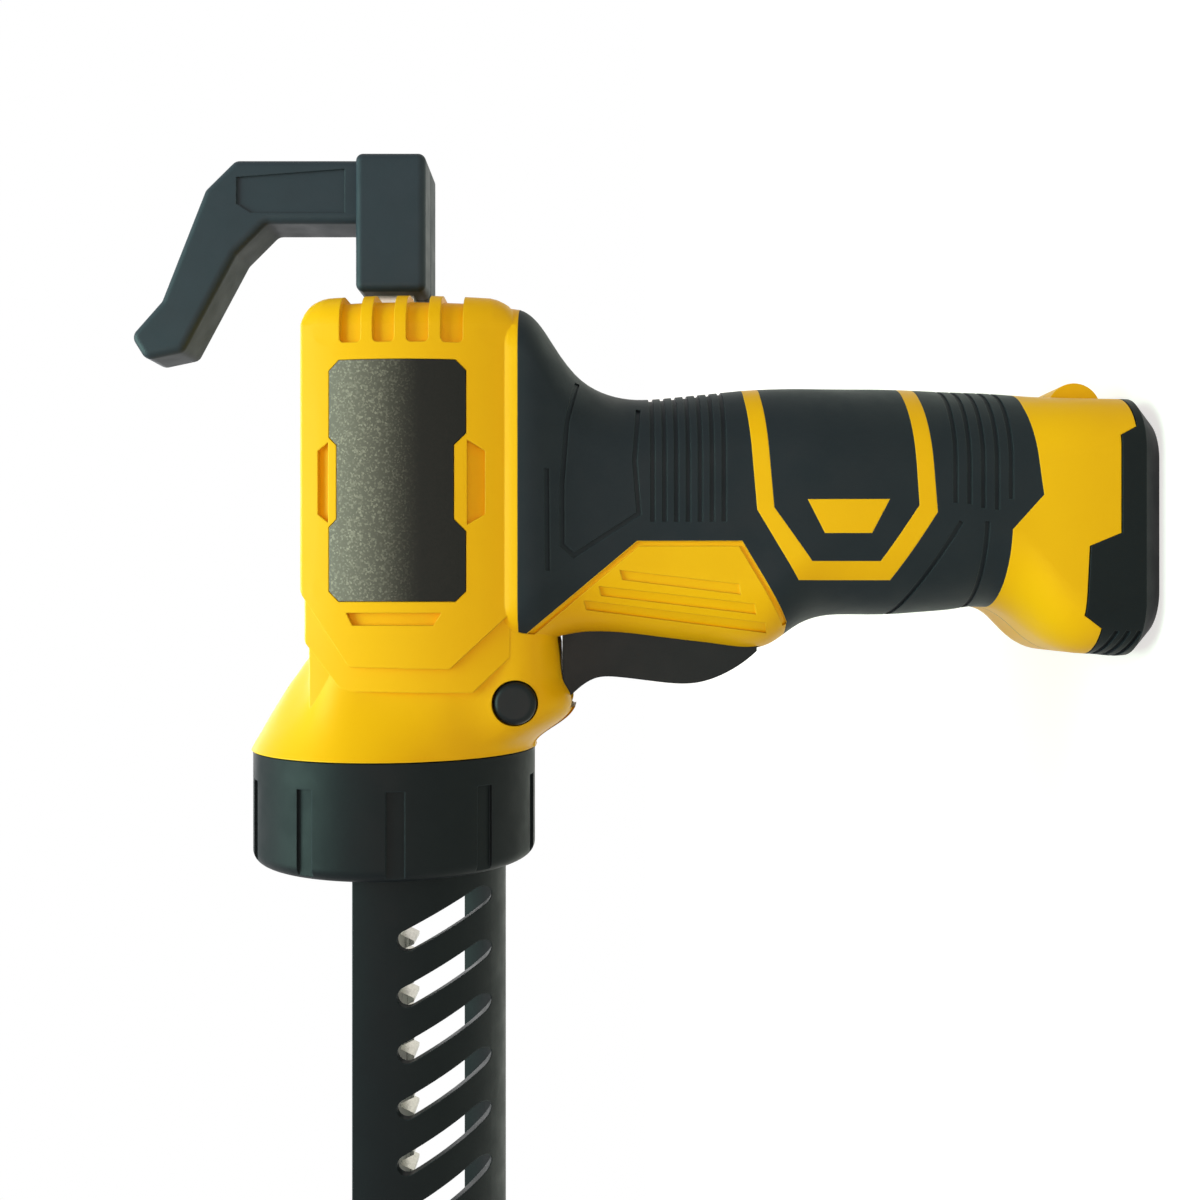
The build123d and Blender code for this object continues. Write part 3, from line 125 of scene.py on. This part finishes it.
def start_finish(name, **values):
    """A new material, its shader with the values that are the same all over, and its coordinates."""
    material = bpy.data.materials.new(name)
    material.use_nodes = True
    shader = material.node_tree.nodes["Principled BSDF"]
    for socket, value in values.items():
        shader.inputs[socket.replace("_", " ")].default_value = value
    place = add_node(material, "ShaderNodeTexCoord").outputs["Object"]
    return material, shader, place


def link(owner, source, shader, socket):
    """Links one output to a socket of the shader."""
    owner.node_tree.links.new(source, shader.inputs[socket])


def grained_normal(material, place, grain, depth, edge):
    """Normal of a moulded or cast skin: rounded edges and a grain, all sizes in millimetres."""
    rounded = add_node(material, "ShaderNodeBevel", {"Radius": edge * MM}, samples=EDGE_SAMPLES)
    noise = add_node(
        material,
        "ShaderNodeTexNoise",
        {"Vector": place, "Scale": per_metre(grain), "Detail": 2.0, "Roughness": 0.6},
    )
    bump = add_node(
        material,
        "ShaderNodeBump",
        {
            "Strength": 1.0,
            "Distance": depth * MM,
            "Height": noise.outputs["Fac"],
            "Normal": rounded.outputs["Normal"],
        },
    )
    return bump.outputs["Normal"]


def edge_mask(material, width, low, high):
    """1 on sharp edges and 0 on flat skin, from how far a rounded normal leans from the true one."""
    rounded = add_node(material, "ShaderNodeBevel", {"Radius": width * MM}, samples=EDGE_SAMPLES)
    true = add_node(material, "ShaderNodeNewGeometry")
    lean = add_node(
        material,
        "ShaderNodeVectorMath",
        {0: rounded.outputs["Normal"], 1: true.outputs["Normal"]},
        operation="DOT_PRODUCT",
    )
    mask = add_node(
        material,
        "ShaderNodeMapRange",
        {"Value": lean.outputs["Value"], "From Min": high, "From Max": low, "To Min": 0.0, "To Max": 1.0},
    )
    return mask.outputs["Result"]


def seam_mask(material, place, width):
    """1 on the parting line of the two halves, in the middle plane, and 0 beside it."""
    half = width / 2
    blur = width / 10
    parts = add_node(material, "ShaderNodeSeparateXYZ", {"Vector": place})
    across = add_node(material, "ShaderNodeMath", {0: parts.outputs["Y"]}, operation="ABSOLUTE")
    mask = add_node(
        material,
        "ShaderNodeMapRange",
        {
            "Value": across.outputs["Value"],
            "From Min": (half - blur) * MM,
            "From Max": (half + blur) * MM,
            "To Min": 1.0,
            "To Max": 0.0,
        },
    )
    return mask.outputs["Result"]


def cover(owner, mask, below, above):
    """Colour that turns from below to above where the mask is 1."""
    mixed = add_node(owner, "ShaderNodeMix", {0: mask, 6: below, 7: above}, data_type="RGBA")
    return mixed.outputs[2]


def cloudy_mix(material, place, size, first, second):
    """Colour that drifts between two tones in clouds of the given size in millimetres."""
    noise = add_node(
        material, "ShaderNodeTexNoise", {"Vector": place, "Scale": per_metre(size), "Detail": 3.0}
    )
    return cover(material, noise.outputs["Fac"], first, second)


def uneven_roughness(material, place, size, low, high):
    """Roughness that varies between low and high in patches of the given size in millimetres."""
    noise = add_node(
        material, "ShaderNodeTexNoise", {"Vector": place, "Scale": per_metre(size), "Detail": 4.0}
    )
    spread = add_node(
        material,
        "ShaderNodeMapRange",
        {
            "Value": noise.outputs["Fac"],
            "From Min": NOISE_LOW,
            "From Max": NOISE_HIGH,
            "To Min": low,
            "To Max": high,
        },
    )
    return spread.outputs["Result"]


def background_rays(owner):
    """1 for rays that show the background, also in gloss or glass, and 0 for those that light."""
    path = add_node(owner, "ShaderNodeLightPath")
    through = add_node(
        owner,
        "ShaderNodeMath",
        {0: path.outputs["Is Camera Ray"], 1: path.outputs["Is Transmission Ray"]},
        operation="MAXIMUM",
    )
    shown = add_node(
        owner,
        "ShaderNodeMath",
        {0: through.outputs["Value"], 1: path.outputs["Is Glossy Ray"]},
        operation="MAXIMUM",
    )
    return shown.outputs["Value"]


def moulded_abs(name, colours):
    """Moulded ABS: a saturated amber skin with a spark-eroded grain, paler on rubbed edges."""
    # Half-matt plastic: a soft broad highlight and a faint dark line where the halves meet
    # The grain is drawn at 0.7 mm, coarser than real spark erosion, so that it shows
    material, shader, place = start_finish(name, IOR=1.53, Specular_IOR_Level=0.1)
    skin = cloudy_mix(material, place, size=45.0, first=colours.amber, second=colours.amber_shade)
    edges = edge_mask(material, width=0.5, low=0.75, high=0.97)
    rubbed = cover(material, edges, skin, colours.amber_edge)
    closed = cover(material, seam_mask(material, place, width=0.3), rubbed, colours.seam)
    link(material, closed, shader, "Base Color")
    dull = uneven_roughness(material, place, size=12.0, low=0.36, high=0.46)
    link(material, dull, shader, "Roughness")
    normal = grained_normal(material, place, grain=0.7, depth=0.012, edge=0.4)
    link(material, normal, shader, "Normal")
    return material


def moulded_rubber(name, colours):
    """Thermoplastic rubber moulded over the handle: nearly black, cool, with a dull sheen."""
    # Soft rubber: hardly a highlight, and a faint bloom where it turns away
    # The grain is drawn at 0.6 mm, coarser than the real 0.2 mm, so that it shows
    material, shader, place = start_finish(
        name, IOR=1.5, Specular_IOR_Level=0.2, Sheen_Weight=0.05, Sheen_Roughness=0.4
    )
    skin = cloudy_mix(material, place, size=18.0, first=colours.rubber, second=colours.rubber_pale)
    edges = edge_mask(material, width=0.6, low=0.7, high=0.97)
    rubbed = cover(material, edges, skin, colours.rubber_edge)
    closed = cover(material, seam_mask(material, place, width=0.3), rubbed, colours.seam)
    link(material, closed, shader, "Base Color")
    dull = uneven_roughness(material, place, size=9.0, low=0.52, high=0.66)
    link(material, dull, shader, "Roughness")
    normal = grained_normal(material, place, grain=0.6, depth=0.02, edge=0.35)
    link(material, normal, shader, "Normal")
    return material


def filled_nylon(name, colour, pale, edge, roughness, grain, shine):
    """Moulded nylon and like plastics: a slightly mottled skin, paler where edges are rubbed."""
    # Filled plastic: a dull, uneven highlight that widens with its roughness
    # The grain is drawn coarser than the real one, so that it shows
    duller = roughness + 0.12
    material, shader, place = start_finish(name, IOR=1.53, Specular_IOR_Level=shine)
    skin = cloudy_mix(material, place, size=7.0, first=colour, second=pale)
    rubbed = cover(material, edge_mask(material, width=0.5, low=0.7, high=0.97), skin, edge)
    link(material, rubbed, shader, "Base Color")
    dull = uneven_roughness(material, place, size=6.0, low=roughness, high=duller)
    link(material, dull, shader, "Roughness")
    normal = grained_normal(material, place, grain=grain, depth=0.015, edge=0.45)
    link(material, normal, shader, "Normal")
    return material


def flaked_plate(name, colours, highlight_start, highlight_top):
    """Bare lacquered plate: dark, with a painted highlight that turns it paler upwards, and fine mineral
    flakes that show as painted glints only within that highlight.
    """
    # Lacquer over flakes: a flat sheen with small sparks
    # The flakes are drawn at 0.4 mm, coarser than the real ones, so that single sparks show
    flake_size = 0.4
    material, shader, place = start_finish(name, IOR=1.5, Specular_IOR_Level=0.15)
    parts = add_node(material, "ShaderNodeSeparateXYZ", {"Vector": place})
    # Painted highlight: the plate turns pale upwards, where the key lamp above falls on it
    fade = add_node(
        material,
        "ShaderNodeMapRange",
        {"Value": parts.outputs["Z"], "From Min": highlight_start, "From Max": highlight_top},
        interpolation_type="SMOOTHSTEP",
    )
    flakes = add_node(
        material,
        "ShaderNodeTexVoronoi",
        {"Vector": place, "Scale": per_metre(flake_size), "Randomness": 1.0},
    )
    # The flakes show only within the painted highlight, so their sparks are painted glints
    spark = add_node(
        material,
        "ShaderNodeMapRange",
        {
            "Value": flakes.outputs["Color"],
            "From Min": FLAKE_START,
            "From Max": FLAKE_FULL,
            "To Min": 0.0,
            "To Max": fade.outputs["Result"],
        },
    )
    # The dark plate colour turns to the painted highlight upwards, then takes the glinting flakes
    lacquer_and_highlight = cover(material, fade.outputs["Result"], colours.plate, colours.plate_painted_highlight)
    painted_highlight_and_flecks = cover(material, spark.outputs["Result"], lacquer_and_highlight, colours.plate_flake_glint)
    link(material, painted_highlight_and_flecks, shader, "Base Color")
    dull = uneven_roughness(material, place, size=0.6, low=0.38, high=0.54)
    link(material, dull, shader, "Roughness")
    normal = grained_normal(material, place, grain=0.45, depth=0.03, edge=0.2)
    link(material, normal, shader, "Normal")
    return material


def drawn_metal(name, colour, shade, roughness, streak, along):
    """Drawn, ground or plated metal: fine streaks that run along one axis."""
    # Bright metal: highlights drawn out across the streaks
    # The streaks are drawn a few times coarser than real drawing marks, so that they show
    duller = roughness + 0.14
    edge = 0.15 * MM
    depth = 0.01 * MM
    stretch = [1.0, 1.0, 1.0]
    stretch[along] = STREAK_STRETCH
    material, shader, place = start_finish(name, Metallic=1.0)
    lines = add_node(material, "ShaderNodeMapping", {"Vector": place, "Scale": stretch})
    streaks = add_node(
        material,
        "ShaderNodeTexNoise",
        {"Vector": lines.outputs["Vector"], "Scale": per_metre(streak), "Detail": 3.0},
    )
    tone = cover(material, streaks.outputs["Fac"], linear(colour), linear(shade))
    link(material, tone, shader, "Base Color")
    spread = add_node(
        material,
        "ShaderNodeMapRange",
        {
            "Value": streaks.outputs["Fac"],
            "From Min": NOISE_LOW,
            "From Max": NOISE_HIGH,
            "To Min": roughness,
            "To Max": duller,
        },
    )
    link(material, spread.outputs["Result"], shader, "Roughness")
    rounded = add_node(material, "ShaderNodeBevel", {"Radius": edge}, samples=EDGE_SAMPLES)
    bump = add_node(
        material,
        "ShaderNodeBump",
        {
            "Strength": 0.4,
            "Distance": depth,
            "Height": streaks.outputs["Fac"],
            "Normal": rounded.outputs["Normal"],
        },
    )
    link(material, bump.outputs["Normal"], shader, "Normal")
    return material


def pressed_powder(name, colour, shade, metallic, roughness):
    """Sintered steel, bronze or ferrite, and die cast alloy: dull and finely pitted."""
    # Pressed or cast grains: a dull sheen that small pits break up
    # The pits are drawn at 0.5 mm, coarser than the real ones, so that they show
    duller = roughness + 0.15
    material, shader, place = start_finish(name, Metallic=metallic)
    tone = cloudy_mix(material, place, size=2.5, first=linear(colour), second=linear(shade))
    link(material, tone, shader, "Base Color")
    dull = uneven_roughness(material, place, size=1.2, low=roughness, high=duller)
    link(material, dull, shader, "Roughness")
    normal = grained_normal(material, place, grain=0.5, depth=0.03, edge=0.2)
    link(material, normal, shader, "Normal")
    return material


def matt_paper(name, stage):
    """Matt paper for the floor: it takes a shadow under the tool and turns white away from it."""
    # Paper without gloss: a pale, even ground that mirrors nothing
    material, shader, place = start_finish(
        name, Base_Color=stage.floor_colour, Roughness=0.9, Specular_IOR_Level=0.0, Emission_Color=WHITE
    )
    shown = background_rays(material)
    away = add_node(material, "ShaderNodeVectorMath", {0: place}, operation="LENGTH")
    fade = add_node(
        material,
        "ShaderNodeMapRange",
        {
            "Value": away.outputs["Value"],
            "From Min": FLOOR_SHADE_SHARE * stage.floor_fade,
            "From Max": stage.floor_fade,
            "To Min": stage.floor_glow,
            "To Max": 1.0,
        },
    )
    glow = add_node(
        material, "ShaderNodeMath", {0: shown, 1: fade.outputs["Result"]}, operation="MULTIPLY"
    )
    link(material, glow.outputs["Value"], shader, "Emission Strength")
    return material


def colour_setting(name, description, code):
    """A colour that a user may change, with an sRGB hex colour as its default."""
    return FloatVectorProperty(
        name=name, description=description, subtype="COLOR", size=4, min=0, max=1, default=linear(code))


class FinishColours(bpy.types.PropertyGroup):
    """Colours of the finishes."""

    amber: colour_setting("Amber", "Housing plastic", "EFAF0A")
    amber_shade: colour_setting("Amber shade", "Warmer drift in the housing plastic", "ECA70A")
    amber_edge: colour_setting("Amber edge", "Rubbed edges of the housing", "F4BA26")
    seam: colour_setting("Seam", "Line where the halves meet", "1A1408")
    rubber: colour_setting("Rubber", "Grip rubber", "0C131A")
    rubber_pale: colour_setting("Rubber bloom", "Paler drift in the grip rubber", "121921")
    rubber_edge: colour_setting("Rubber edge", "Rubbed edges of the grip", "222B31")
    slate: colour_setting("Slate", "Pull hook", "1F2730")
    slate_pale: colour_setting("Slate drift", "Paler drift in the pull hook", "262E38")
    coal: colour_setting("Coal", "Collar, cradle and battery", "0D1115")
    coal_pale: colour_setting("Coal drift", "Paler drift in collar, cradle and battery", "12161A")
    coal_edge: colour_setting("Coal edge", "Rubbed edges of the black pieces", "2C333A")
    plate: colour_setting("Plate", "Bare side plate", "131211")
    # Painted highlight on the upper side plate, and the flakes that glint within it
    plate_painted_highlight: colour_setting("Plate painted highlight", "Painted highlight on the upper side plate", "746B64")
    plate_flake_glint: colour_setting("Plate flake glint", "Flakes that glint in the painted highlight", "9E9288")


class TowerSizes(bpy.types.PropertyGroup):
    """Sizes of the moulded towers round the screws that stand above the curved shell."""

    head_radius: FloatProperty(
        name="Head radius", description="Radius of a screw head", default=2.8 * MM, min=MM, unit="LENGTH")
    clearance: FloatProperty(
        name="Clearance", description="Room round a screw head", default=0.2 * MM, min=0.0, unit="LENGTH")
    wall: FloatProperty(
        name="Wall", description="Wall of a tower at its rim", default=1.3 * MM, min=0.1 * MM, unit="LENGTH")
    flare: FloatProperty(
        name="Flare", description="How much wider a tower is at its foot", default=0.9 * MM, min=0.0,
        unit="LENGTH")
    lip: FloatProperty(
        name="Lip", description="How far the rim stands above the head", default=0.6 * MM, min=0.0,
        unit="LENGTH")
    grip_depth: FloatProperty(
        name="Grip depth", description="From the rim to the foot of the tower in the grip",
        default=11 * MM, min=MM, unit="LENGTH")
    frame_depth: FloatProperty(
        name="Frame depth", description="From the rim to the foot of the tower in the trigger frame",
        default=5.5 * MM, min=MM, unit="LENGTH")


class StageSettings(bpy.types.PropertyGroup):
    """Floor, lamps, surrounding light and camera."""

    floor_size: FloatProperty(
        name="Floor size", description="Side of the floor", default=6.0, min=1.0, unit="LENGTH")
    floor_fade: FloatProperty(
        name="Floor fade", description="Distance from the tool at which the floor is white", default=0.9,
        min=0.1, unit="LENGTH")
    floor_glow: FloatProperty(
        name="Floor glow", description="How white the floor reads under the tool", default=0.66, min=0.0,
        max=1.0)
    floor_colour: colour_setting("Floor colour", "Paper that takes the shadow", "C4BCB2")
    lamp_size: FloatProperty(
        name="Lamp size", description="Side of each soft lamp", default=0.65, min=0.05, unit="LENGTH")
    key_place: FloatVectorProperty(
        name="Key place", description="Where the key lamp hangs", subtype="TRANSLATION", unit="LENGTH",
        default=(-0.02, -0.30, 0.85))
    key_power: FloatProperty(
        name="Key lamp", description="Soft lamp above the tool", default=13.0, min=0.0, unit="POWER")
    key_colour: colour_setting("Key colour", "Cool light of the key lamp", "CAFFEE")
    front_place: FloatVectorProperty(
        name="Front place", description="Where the front lamp stands", subtype="TRANSLATION", unit="LENGTH",
        default=(-0.05, -0.95, 0.25))
    front_power: FloatProperty(
        name="Front lamp", description="Soft lamp on the photographed side", default=2.3, min=0.0,
        unit="POWER")
    front_colour: colour_setting("Front colour", "Light of the front lamp, a little warm", "FFE4CC")
    back_place: FloatVectorProperty(
        name="Back place", description="Where the back lamp stands", subtype="TRANSLATION", unit="LENGTH",
        default=(0.15, 0.90, 0.55))
    back_power: FloatProperty(
        name="Back lamp", description="Soft lamp behind the tool", default=3.0, min=0.0, unit="POWER")
    back_colour: colour_setting("Back colour", "Light of the back lamp", "FFFFFF")
    ambient: FloatProperty(
        name="Ambient", description="Strength of the surrounding light", default=0.32, min=0.0)
    ambient_colour: colour_setting("Ambient colour", "Surrounding light, a little warm", "FFEEDC")
    camera_distance: FloatProperty(
        name="Camera distance", description="From the middle plane of the tool", default=300 * MM,
        min=0.05, unit="LENGTH")
    camera_x: FloatProperty(
        name="Camera place along the barrel", description="Where the picture's middle lies",
        default=-24.4 * MM, unit="LENGTH")
    camera_z: FloatProperty(
        name="Camera height", description="Above the frame's origin", default=55.2 * MM, unit="LENGTH")
    lens: FloatProperty(
        name="Lens", description="Focal length on a 36 mm sensor", default=36.0, min=1.0, unit="CAMERA")


def set_finish(material, *names):
    """Puts one material on each of the named pieces."""
    for name in names:
        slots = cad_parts[name].data.materials
        slots.clear()
        slots.append(material)


class CAULK_OT_dress_housing(bpy.types.Operator):
    """Give the housing halves and the battery latch their amber plastic."""

    bl_idname = "caulk.dress_housing"
    bl_label = "Dress housing"

    def execute(self, context):
        amber = moulded_abs("moulded_abs_amber", context.scene.caulk_colours)
        set_finish(amber, "left_housing", "right_housing", "battery_latch")
        return {"FINISHED"}


class CAULK_OT_dress_grip(bpy.types.Operator):
    """Give the grip halves their rubber."""

    bl_idname = "caulk.dress_grip"
    bl_label = "Dress grip"

    def execute(self, context):
        rubber = moulded_rubber("moulded_rubber_black", context.scene.caulk_colours)
        set_finish(rubber, "left_grip", "right_grip")
        return {"FINISHED"}


def screw_tower(name, along, up, depth, sizes, finish, slot):
    """A tapered ring round one screw head on the far side, turned about the screw's axis."""
    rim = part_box("housing_screws")[1][1] + sizes.lip
    foot = rim - depth
    inner = sizes.head_radius + sizes.clearance
    outer = inner + sizes.wall
    # A third of the wall is rounded off at the rim
    round_off = sizes.wall / 3
    # Half way up, a third of the foot's flare is left
    waist = outer + sizes.flare / 3
    outline = (
        (inner, foot),
        (outer + sizes.flare, foot),
        (waist, (foot + rim) / 2),
        (outer, rim - 2 * round_off),
        (outer - round_off / 3, rim - round_off / 3),
        (outer - round_off, rim),
        (inner, rim),
    )
    shape = bmesh.new()
    corners = [shape.verts.new((along + radius, height, up)) for radius, height in outline]
    edges = [shape.edges.new((corners[place - 1], corner)) for place, corner in enumerate(corners)]
    bmesh.ops.spin(
        shape, geom=corners + edges, cent=(along, 0, up), axis=(0, 1, 0), angle=math.tau, steps=TOWER_STEPS,
        use_merge=True)
    bmesh.ops.remove_doubles(shape, verts=shape.verts, dist=MERGE_DISTANCE)
    bmesh.ops.recalc_face_normals(shape, faces=shape.faces)
    mesh = bpy.data.meshes.new(name)
    shape.to_mesh(mesh)
    shape.free()
    mesh.shade_smooth()
    mesh.set_sharp_from_angle(angle=TOWER_SHARP)
    mesh.materials.append(bpy.data.materials[finish])
    piece = bpy.data.objects.new(name, mesh)
    bpy.context.scene.collection.objects.link(piece)
    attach(piece, "housing")


class CAULK_OT_raise_screw_towers(bpy.types.Operator):
    """Raise a moulded tower round each screw that stands above the curved shell."""

    bl_idname = "caulk.raise_screw_towers"
    bl_label = "Raise screw towers"

    def execute(self, context):
        sizes = context.scene.caulk_towers
        rubber = ("moulded_rubber_black", "grip_rubber")
        screw_tower("grip_screw_tower", *GRIP_SCREW, sizes.grip_depth, sizes, *rubber)
        plastic = ("moulded_abs_amber", "body_plastic")
        screw_tower("frame_screw_tower", *FRAME_SCREW, sizes.frame_depth, sizes, *plastic)
        return {"FINISHED"}


class CAULK_OT_dress_black_pieces(bpy.types.Operator):
    """Give hook, collar, cradle, trigger, button, battery and inner mouldings their dark plastics."""

    bl_idname = "caulk.dress_black_pieces"
    bl_label = "Dress black pieces"

    def execute(self, context):
        colours = context.scene.caulk_colours
        slate = (colours.slate, colours.slate_pale, colours.coal_edge)
        coal = (colours.coal, colours.coal_pale, colours.coal_edge)
        hook = filled_nylon("filled_nylon_slate", *slate, roughness=0.46, grain=0.6, shine=0.2)
        set_finish(hook, "pull_hook")
        body = filled_nylon("filled_nylon_coal", *coal, roughness=0.42, grain=0.5, shine=0.1)
        set_finish(body, "collar", "barrel", "battery_case")
        press = filled_nylon("polished_nylon_coal", *coal, roughness=0.3, grain=0.4, shine=0.14)
        set_finish(press, "trigger", "push_button")
        inner = filled_nylon("acetal_black", *coal, roughness=0.36, grain=0.4, shine=0.2)
        set_finish(inner, "rear_rack_guide", "front_rack_guide", "cradle_seat", "contact_block", "switch")
        return {"FINISHED"}


class CAULK_OT_dress_plates(bpy.types.Operator):
    """Give the two bare side plates their flaked, lacquered finish with a painted highlight upwards."""

    bl_idname = "caulk.dress_plates"
    bl_label = "Dress side plates"

    def execute(self, context):
        lowest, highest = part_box("left_plate")
        # The painted highlight starts part way up the plate and is full at its top
        highlight_start = lowest[2] + PLATE_NO_HIGHLIGHT_SHARE * (highest[2] - lowest[2])
        lacquer_and_highlight = flaked_plate("flaked_lacquer_dark", context.scene.caulk_colours, highlight_start, highest[2])
        set_finish(lacquer_and_highlight, "left_plate", "right_plate")
        return {"FINISHED"}


class CAULK_OT_dress_metals(bpy.types.Operator):
    """Give rack, gears, shafts, bearings, gearbox, motor and screws their metals."""

    bl_idname = "caulk.dress_metals"
    bl_label = "Dress metals"

    def execute(self, context):
        in_x, in_y, in_z = range(3)
        bright = drawn_metal("plated_steel", "C8C5BD", "ACA8A0", roughness=0.24, streak=0.5, along=in_x)
        set_finish(bright, "rack", "push_plate")
        zinc = drawn_metal("zinc_plated_steel", "A9AAA8", "8C8D8C", roughness=0.3, streak=0.4, along=in_y)
        set_finish(zinc, "housing_screws", "hook_pin", "plunger_screw", "trigger_spring")
        ground = drawn_metal("ground_steel", "B0B0B0", "8E8E90", roughness=0.24, streak=0.4, along=in_y)
        set_finish(ground, "cross_shaft", "rack_pinion", "bevel_gear", "bevel_pinion", "sun_gear")
        drawn = drawn_metal("drawn_steel_can", "9FA1A3", "85878A", roughness=0.32, streak=0.6, along=in_z)
        set_finish(drawn, "motor_can", "motor_rotor")
        sintered = pressed_powder("sintered_steel", "7E7D7B", "686766", metallic=1.0, roughness=0.42)
        planets = [f"planet_{stage}{letter}" for stage in (1, 2) for letter in "abc"]
        set_finish(sintered, *planets, "carrier_1", "carrier_2", "clutch_disc")
        bronze = pressed_powder("sintered_bronze", "B48A4E", "9A733F", metallic=1.0, roughness=0.4)
        set_finish(bronze, "left_bearing", "right_bearing")
        alloy = pressed_powder("die_cast_alloy", "A5A7A9", "8F9193", metallic=1.0, roughness=0.45)
        set_finish(alloy, "gearbox_case", "gearbox_cover")
        ferrite = pressed_powder("ferrite", "2A2A2C", "222224", metallic=0.0, roughness=0.6)
        set_finish(ferrite, "motor_magnets")
        return {"FINISHED"}


class CAULK_OT_dress_electrics(bpy.types.Operator):
    """Give the control board its green mask and the cells their sleeves."""

    bl_idname = "caulk.dress_electrics"
    bl_label = "Dress electrics"

    def execute(self, context):
        green = (linear("12502C"), linear("0E4325"), linear("6E7F52"))
        board = filled_nylon("solder_mask_green", *green, roughness=0.3, grain=0.8, shine=0.5)
        set_finish(board, "control_board")
        blue = (linear("2A5F92"), linear("245583"), linear("5D86AE"))
        sleeve = filled_nylon("shrink_sleeve_blue", *blue, roughness=0.25, grain=1.5, shine=0.5)
        set_finish(sleeve, "battery_cells")
        return {"FINISHED"}


def lay_floor(scene, stage):
    """Lays the paper floor under the lowest point of the tool."""
    mesh = bpy.data.meshes.new("floor")
    made = bmesh.new()
    bmesh.ops.create_grid(made, x_segments=1, y_segments=1, size=stage.floor_size / 2)
    bmesh.ops.translate(made, verts=made.verts, vec=(0, 0, CAD_LOW.z))
    made.to_mesh(mesh)
    made.free()
    floor = bpy.data.objects.new("floor", mesh)
    scene.collection.objects.link(floor)
    mesh.materials.append(matt_paper("matt_white_paper", stage))


def soft_lamp(scene, name, place, size, power, colour):
    """Hangs one square soft lamp that faces the middle of the tool."""
    place = Vector(place)
    middle = (CAD_LOW + CAD_HIGH) / 2
    data = bpy.data.lights.new(name, "AREA")
    data.shape = "SQUARE"
    data.size = size
    data.energy = power
    data.color = colour[:3]
    lamp = bpy.data.objects.new(name, data)
    lamp.location = place
    lamp.rotation_mode = "QUATERNION"
    lamp.rotation_quaternion = (middle - place).to_track_quat("-Z", "Y")
    scene.collection.objects.link(lamp)


def light_room(scene, stage):
    """Surrounds the tool with a room that looks white and lights it softly and a little warm."""
    world = bpy.data.worlds.new("white_room")
    world.use_nodes = True
    scene.world = world
    lit = world.node_tree.nodes["Background"]
    shown = background_rays(world)
    strength = add_node(
        world, "ShaderNodeMapRange", {"Value": shown, "To Min": stage.ambient, "To Max": 1.0}
    )
    link(world, cover(world, shown, stage.ambient_colour, WHITE), lit, "Color")
    link(world, strength.outputs["Result"], lit, "Strength")


def aim_camera(scene, stage):
    """Places the camera square to the near side."""
    data = bpy.data.cameras.new("camera")
    data.lens = stage.lens
    data.sensor_width = SENSOR_WIDTH
    data.clip_start = NEAREST_SEEN
    camera = bpy.data.objects.new("camera", data)
    # The picture's right is down the handle and its top is towards the pull hook
    turned = Matrix(((0, 1, 0), (0, 0, -1), (-1, 0, 0)))
    place = Vector((stage.camera_x, -stage.camera_distance, stage.camera_z))
    camera.matrix_world = Matrix.Translation(place) @ turned.to_4x4()
    scene.collection.objects.link(camera)
    scene.camera = camera


class CAULK_OT_set_stage(bpy.types.Operator):
    """Set the pale floor, the soft lamps, the surrounding light and the camera."""

    bl_idname = "caulk.set_stage"
    bl_label = "Set stage"

    def execute(self, context):
        scene = context.scene
        stage = scene.caulk_stage
        scene.view_settings.view_transform = "Standard"
        lay_floor(scene, stage)
        size = stage.lamp_size
        soft_lamp(scene, "key_lamp", stage.key_place, size, stage.key_power, stage.key_colour)
        soft_lamp(scene, "front_lamp", stage.front_place, size, stage.front_power, stage.front_colour)
        soft_lamp(scene, "back_lamp", stage.back_place, size, stage.back_power, stage.back_colour)
        light_room(scene, stage)
        aim_camera(scene, stage)
        return {"FINISHED"}


class CAULK_PT_panel(bpy.types.Panel):
    """Lists the steps that dress the caulking gun."""

    bl_idname = "CAULK_PT_panel"
    bl_label = "Caulking gun"
    bl_space_type = "VIEW_3D"
    bl_region_type = "UI"
    bl_category = "Caulking gun"

    def draw(self, context):
        for step in STEPS:
            self.layout.operator(step.bl_idname)


GROUPS = (FinishColours, TowerSizes, StageSettings)
STEPS = (
    CAULK_OT_dress_housing,
    CAULK_OT_dress_grip,
    CAULK_OT_raise_screw_towers,
    CAULK_OT_dress_black_pieces,
    CAULK_OT_dress_plates,
    CAULK_OT_dress_metals,
    CAULK_OT_dress_electrics,
    CAULK_OT_set_stage,
)


def register():
    """Registers the property groups, the operators and the panel."""
    for made in (*GROUPS, *STEPS, CAULK_PT_panel):
        bpy.utils.register_class(made)
    bpy.types.Scene.caulk_colours = PointerProperty(type=FinishColours)
    bpy.types.Scene.caulk_towers = PointerProperty(type=TowerSizes)
    bpy.types.Scene.caulk_stage = PointerProperty(type=StageSettings)


def unregister():
    """Takes away what register added."""
    del bpy.types.Scene.caulk_stage
    del bpy.types.Scene.caulk_towers
    del bpy.types.Scene.caulk_colours
    for made in reversed((*GROUPS, *STEPS, CAULK_PT_panel)):
        bpy.utils.unregister_class(made)


def main():
    """Registers the add-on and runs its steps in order."""
    register()
    for step in STEPS:
        group, name = step.bl_idname.split(".")
        getattr(getattr(bpy.ops, group), name)()


if __name__ == "__main__":
    main()
